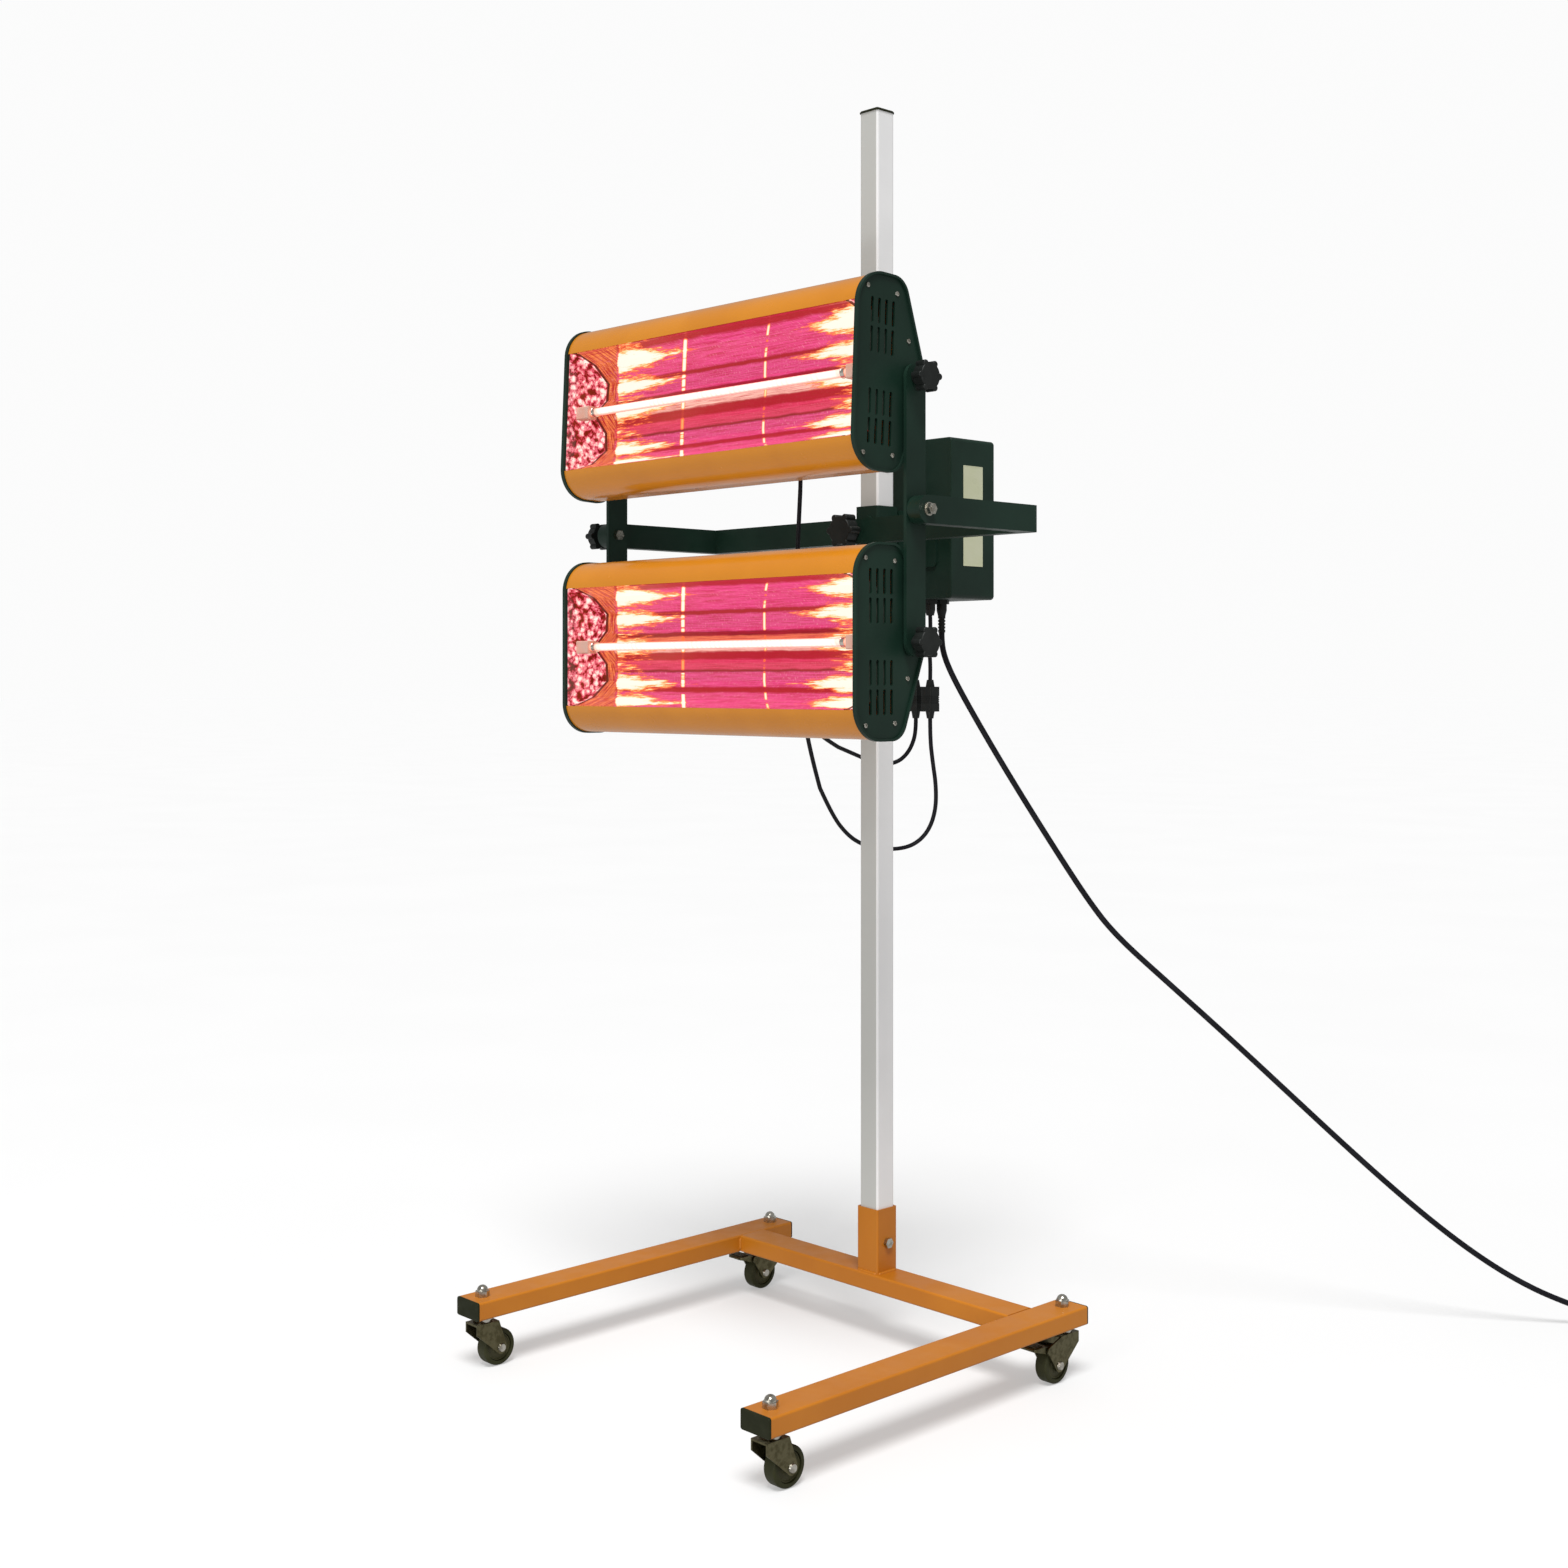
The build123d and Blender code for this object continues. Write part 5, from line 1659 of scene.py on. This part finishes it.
@dataclass
class Leads:
    """Mains cord with its coil and plug, the lamp cords and the short tails."""

    wardrobe: Wardrobe
    plug: Plug
    lead_diameter: float = 0.006
    mains_diameter: float = 0.0085
    mains_sides: int = 3
    coil_turns: float = 6.5
    coil_middle_radius: float = 0.051
    coil_pitch: float = 0.0093
    coil_flare: float = 0.016
    crossing_turns: float = 0.5
    leaving_turns: float = 0.25
    lead_in: float = 0.0051
    lead_out: float = 0.0034
    floor_level: float = 0.02
    points_per_turn: int = 16

    def build(self) -> None:
        """Lay every cord."""
        self.lamp_cord("upper", UPPER_ROUTE, UPPER_JOINTS)
        self.lamp_cord("lower", LOWER_ROUTE, LOWER_JOINTS)
        self.tails()
        self.mains()

    def lay(
        self, cord: Cord, bodies: tuple[str, str], bend: tuple[Point, Point], far_end: str,
        pieces: Sequence[str],
    ) -> bpy.types.Object:
        """Args:
            cord: The cord.
            bodies: The bodies at its start and its end; the tube rides on the first where both are the
                same, and otherwise stays where it is laid.
            bend: Not used.
            far_end: Not used.
            pieces: Not used.

        Returns:
            The tube.
        """
        line = cord.centreline()
        piece = self.rubber(cord)
        start, end = bodies
        if start == end:
            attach(piece, start)
        else:
            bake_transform(piece)
        log.info("%s, %.3f m", cord.name, length_of(line))
        return piece

    def rubber(self, cord: Cord) -> bpy.types.Object:
        """Make a cord's tube in its rubber.

        Args:
            cord: The cord.

        Returns:
            The tube.
        """
        piece = cord.tube()
        piece.data.materials.clear()
        piece.data.materials.append(self.wardrobe.get(RUBBER))
        return piece

    def lamp_cord(self, word: str, route: Sequence[Point], joints: tuple[int, int, int]) -> None:
        """Lay a lamp's cord in three stretches, one for each joint that it crosses.

        Args:
            word: The lamp's word.
            route: The whole route, from the lamp to the connector.
            joints: The numbers of the route's points where it has left the lamp, where it starts to
                leave the arms, and where it has left them.
        """
        off_lamp, leaving, off_arms = joints
        last, connector = len(route) - 1, ["lead_connectors"]
        stretches = [
            ("lamp_end", 0, 0, off_lamp, (f"{word}_lamp", "arms_body"), "object", []),
            ("arm_stretch", off_lamp, leaving, off_arms, ("arms_body", "yoke_body"), "object", []),
            ("box_end", off_arms, off_arms, last, ("yoke_body", "carriage"), "connector", connector),
        ]
        for name, start, bend, end, bodies, far_end, pieces in stretches:
            cord = Cord(f"{word}_cord_{name}", route[start : end + 1], self.lead_diameter)
            piece = self.lay(cord, bodies, (route[bend], route[end]), far_end, pieces)
            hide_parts(f"{word}_lamp_cord")

    def tails(self) -> None:
        """Hang the short tails between the box's glands and the connectors."""
        for name, route in (("lower_tail", LOWER_TAIL), ("upper_tail", UPPER_TAIL)):
            cord = Cord(name, route, self.lead_diameter)
            piece = self.lay(cord, ("carriage", "carriage"), (route[0], route[-1]), "object", [])
            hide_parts("lead_tails")

    def coil(self) -> tuple[list[Point], Vector, Vector]:
        """Wind the put-away coil from the mains route's last point.

        Returns:
            The coil's points, where it ends, and the way it leaves.
        """
        start, before = Vector(MAINS_ROUTE[-1]), Vector(MAINS_ROUTE[-2])
        heading = (start - before).normalized()
        inward = heading.cross(Vector((0, 0, 1)))
        half = self.coil_turns / 2
        outer = self.coil_middle_radius + self.coil_pitch * half / 2
        centre = start + heading * self.mains_diameter + inward * outer
        # A spline of order 3 runs a little inside its points, so they lie that much further out.
        fuller = 4 / (3 + cos(2 * pi / self.points_per_turn))
        points = [tuple(start + heading * self.lead_in)]
        rise = self.plug.radius - self.mains_diameter / 2 - self.coil_pitch
        total = int(self.coil_turns * self.points_per_turn)
        for number in range(1, total + 1):
            turn = (number - 0.5) / self.points_per_turn
            radius = (outer - self.coil_pitch * (half - abs(turn - half))) * fuller
            climb = min(max((turn - half) / self.crossing_turns + 0.5, 0), 1) * self.coil_pitch
            leaving = max(0.0, (turn - self.coil_turns) / self.leaving_turns + 1)
            radius += self.coil_flare * leaving**2
            climb += rise * leaving**2
            way = heading * sin(2 * pi * turn) - inward * cos(2 * pi * turn)
            points.append(tuple(centre + way * radius + Vector((0, 0, climb))))
        beside = centre + inward * (outer + self.coil_flare) + Vector((0, 0, self.coil_pitch + rise))
        end = beside - heading * self.mains_diameter
        points += [tuple(beside - heading * self.lead_out), tuple(end)]
        return points, end, -heading

    def mains(self) -> None:
        """Lay the mains cord and its coil, and put the plug on its end."""
        turns, end, way = self.coil()
        plug = self.plug.build(end, way)
        cord = Cord("mains_lead", [*MAINS_ROUTE, *turns], self.mains_diameter, self.mains_sides)
        line = cord.centreline()
        piece = self.rubber(cord)
        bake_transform(piece)
        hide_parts("mains_cord", "mains_coil")
        log.info("%s, %.3f m", cord.name, length_of(line))


UPPER_ROUTE: list[Point] = [
    (0.032, -0.060506, 1.313738), (0.032, -0.041, 1.312887), (0.0323, -0.0235, 1.3025),
    (0.033, -0.0133, 1.2835), (0.0336, -0.010, 1.252), (0.034, -0.0125, 1.195), (0.033, -0.0165, 1.120),
    (0.029, -0.0155, 1.041), (0.021, -0.0045, 0.968), (0.009, 0.0165, 0.900), (-0.005, 0.0445, 0.840),
    (-0.018, 0.0765, 0.788), (-0.028, 0.1115, 0.747), (-0.0345, 0.1475, 0.718), (-0.0365, 0.1795, 0.702),
    (-0.029, 0.2075, 0.695), (-0.007, 0.2245, 0.694), (0.018, 0.2345, 0.702), (0.037, 0.2425, 0.722),
    (0.0445, 0.2495, 0.752), (0.042, 0.253, 0.787), (0.0345, 0.2538, 0.822), (0.030, 0.2535, 0.854),
    (0.030, 0.2535, 0.884),
]
UPPER_JOINTS = (5, 8, 11)
LOWER_ROUTE: list[Point] = [
    (-0.016, -0.0605, 0.986), (-0.016, -0.0425, 0.986), (-0.0163, -0.026, 0.979),
    (-0.0173, -0.0115, 0.9635), (-0.019, 0.0065, 0.9365), (-0.021, 0.0405, 0.892),
    (-0.024, 0.0805, 0.862), (-0.028, 0.1235, 0.844), (-0.0315, 0.163, 0.832), (-0.0305, 0.192, 0.822),
    (-0.025, 0.215, 0.817), (-0.0155, 0.234, 0.820), (-0.007, 0.246, 0.833), (-0.0012, 0.252, 0.850),
    (0.002, 0.2535, 0.868), (0.002, 0.2535, 0.884),
]
LOWER_JOINTS = (4, 4, 7)
LOWER_TAIL: list[Point] = [
    (0.002, 0.2535, 1.033), (0.0032, 0.2535, 1.011), (0.001, 0.252, 0.9865), (0.0028, 0.2535, 0.962),
    (0.002, 0.2535, 0.940),
]
UPPER_TAIL: list[Point] = [
    (0.030, 0.2535, 1.033), (0.0312, 0.2535, 1.011), (0.029, 0.252, 0.9865), (0.0308, 0.2535, 0.962),
    (0.030, 0.2535, 0.940),
]
MAINS_ROUTE: list[Point] = [
    (0.030, 0.2785, 1.009), (0.030, 0.2785, 0.992), (0.0335, 0.2821, 0.9705), (0.0417, 0.2908, 0.943),
    (0.059, 0.3089, 0.8965), (0.0922, 0.3436, 0.814), (0.1336, 0.3869, 0.717), (0.1786, 0.4339, 0.616),
    (0.2062, 0.4629, 0.566), (0.258, 0.5171, 0.4985), (0.3168, 0.5786, 0.422), (0.3755, 0.640, 0.343),
    (0.4321, 0.6993, 0.2667), (0.486, 0.7557, 0.1965), (0.5358, 0.8077, 0.1367), (0.5814, 0.8555, 0.0892),
    (0.6215, 0.8974, 0.0556), (0.656, 0.9335, 0.0341), (0.6864, 0.9653, 0.0191), (0.7113, 0.9914, 0.0105),
    (0.7348, 1.0159, 0.00425), (0.7472, 1.029, 0.00425),
]


@dataclass
class Studio:
    """Camera at the photograph's angle, pale floor and soft lights."""

    eye: Point = (1.950, -1.8739, 0.9378)
    azimuth: float = 46.3
    lens: float = 45.33
    shift_y: float = -0.0655
    sensor: float = 36.0
    sight: tuple[float, float] = (0.05, 120.0)
    backdrop: float = 0.97
    room_light: float = 0.36
    key_way: Point = (0.34, -0.34, 0.88)
    key_strength: float = 2.75
    key_softness: float = 22.0
    strips: Sequence[tuple[str, Point, tuple[float, float]]] = (
        ("front strip", (0.9, -2.8, 1.5), (0.5, 2.0)), ("low strip", (0.6, -2.6, 0.30), (2.4, 0.2)),
    )
    strip_target: Point = (0, 0, 1.1)
    strip_power: float = 14.0
    floor_size: float = 200.0
    floor_drop: float = 0.0005
    floor_seen: tuple[float, float] = (0.55, 0.56)
    floor_cloud: float = 1.5
    floor_bounce: float = 0.2
    floor_glow: float = 0.357
    floor_roughness: float = 0.8
    floor_shine: float = 0.1

    def build(self) -> None:
        """Set up the camera, the floor and the lights."""
        data = bpy.data.cameras.new("camera")
        data.sensor_width = self.sensor
        data.lens = self.lens
        data.shift_y = self.shift_y
        data.clip_start, data.clip_end = self.sight
        camera = bpy.data.objects.new("camera", data)
        camera.location = self.eye
        camera.rotation_euler = Euler((radians(90), 0, radians(self.azimuth)))
        bpy.context.collection.objects.link(camera)
        bpy.context.scene.camera = camera
        self.floor()
        self.world()
        self.sun()
        for name, place, size in self.strips:
            self.strip(name, place, size)
        bpy.context.scene.view_settings.view_transform = "Standard"

    def floor(self) -> None:
        """Lay the pale floor."""
        deselect()
        bpy.ops.mesh.primitive_plane_add(size=self.floor_size, location=(0, 0, -self.floor_drop))
        floor = added("floor")
        nodes = Nodes("pale floor")
        cloud = nodes.span(nodes.noise(self.floor_cloud, 2.0), *NOISE_RANGE)
        pale = nodes.mix(cloud, *[(level,) * 3 for level in self.floor_seen])
        seen = nodes.add("ShaderNodeLightPath").outputs["Is Camera Ray"]
        nodes.set(
            Base_Color=nodes.mix(seen, (self.floor_bounce,) * 3, pale),
            Roughness=self.floor_roughness,
            Specular_IOR_Level=self.floor_shine,
            Emission_Color=(1.0, 1.0, 1.0),
            Emission_Strength=self.floor_glow,
        )
        floor.data.materials.append(nodes.material)

    def world(self) -> None:
        """Set the soft light all round and the pale backdrop behind."""
        world = bpy.data.worlds.new("studio")
        world.use_nodes = True
        tree = world.node_tree
        back = tree.nodes["Background"]
        back.inputs["Color"].default_value = (1.0, 1.0, 1.0, 1.0)
        seen = tree.nodes.new("ShaderNodeLightPath").outputs["Is Camera Ray"]
        strength = tree.nodes.new("ShaderNodeMapRange")
        strength.inputs["To Min"].default_value = self.room_light
        strength.inputs["To Max"].default_value = self.backdrop
        tree.links.new(seen, strength.inputs["Value"])
        tree.links.new(strength.outputs["Result"], back.inputs["Strength"])
        bpy.context.scene.world = world

    def hang(self, name: str, data: bpy.types.Light, place: Point, target: Point) -> None:
        """Hang a light so that it looks at a point.

        Args:
            name: Its name.
            data: The light.
            place: Where it hangs.
            target: Where it looks.
        """
        lamp = bpy.data.objects.new(name, data)
        lamp.location = place
        lamp.rotation_mode = "QUATERNION"
        lamp.rotation_quaternion = (Vector(target) - Vector(place)).to_track_quat("-Z", "Y")
        lamp.visible_camera = False
        bpy.context.collection.objects.link(lamp)

    def sun(self) -> None:
        """Add the even key light from one way."""
        data = bpy.data.lights.new("key", "SUN")
        data.energy, data.angle = self.key_strength, radians(self.key_softness)
        self.hang("key", data, self.key_way, (0, 0, 0))

    def strip(self, name: str, place: Point, size: tuple[float, float]) -> None:
        """Hang one soft strip light.

        Args:
            name: Its name.
            place: Where it hangs.
            size: Its width and height.
        """
        data = bpy.data.lights.new(name, "AREA")
        data.shape, data.energy = "RECTANGLE", self.strip_power
        data.size, data.size_y = size
        self.hang(name, data, place, self.strip_target)


def main() -> None:
    """Build and dress every sub-assembly in order."""
    logging.basicConfig(level=logging.INFO, format="%(message)s")
    wardrobe = Wardrobe()
    screws = PanScrew(wardrobe)
    Studio().build()
    Leads(wardrobe, Plug(wardrobe)).build()
    BaseStand(wardrobe, WeldBead(wardrobe)).build()
    for corner in ("front_left", "front_right", "back_left", "back_right"):
        Caster(wardrobe, corner).build()
    Carriage(wardrobe, screws).build()
    Yoke(wardrobe).build()
    for lamp in Lamp:
        Cassette(wardrobe, screws, lamp).build()
    screws.clear()
    deselect()


if __name__ == "__main__":
    main()
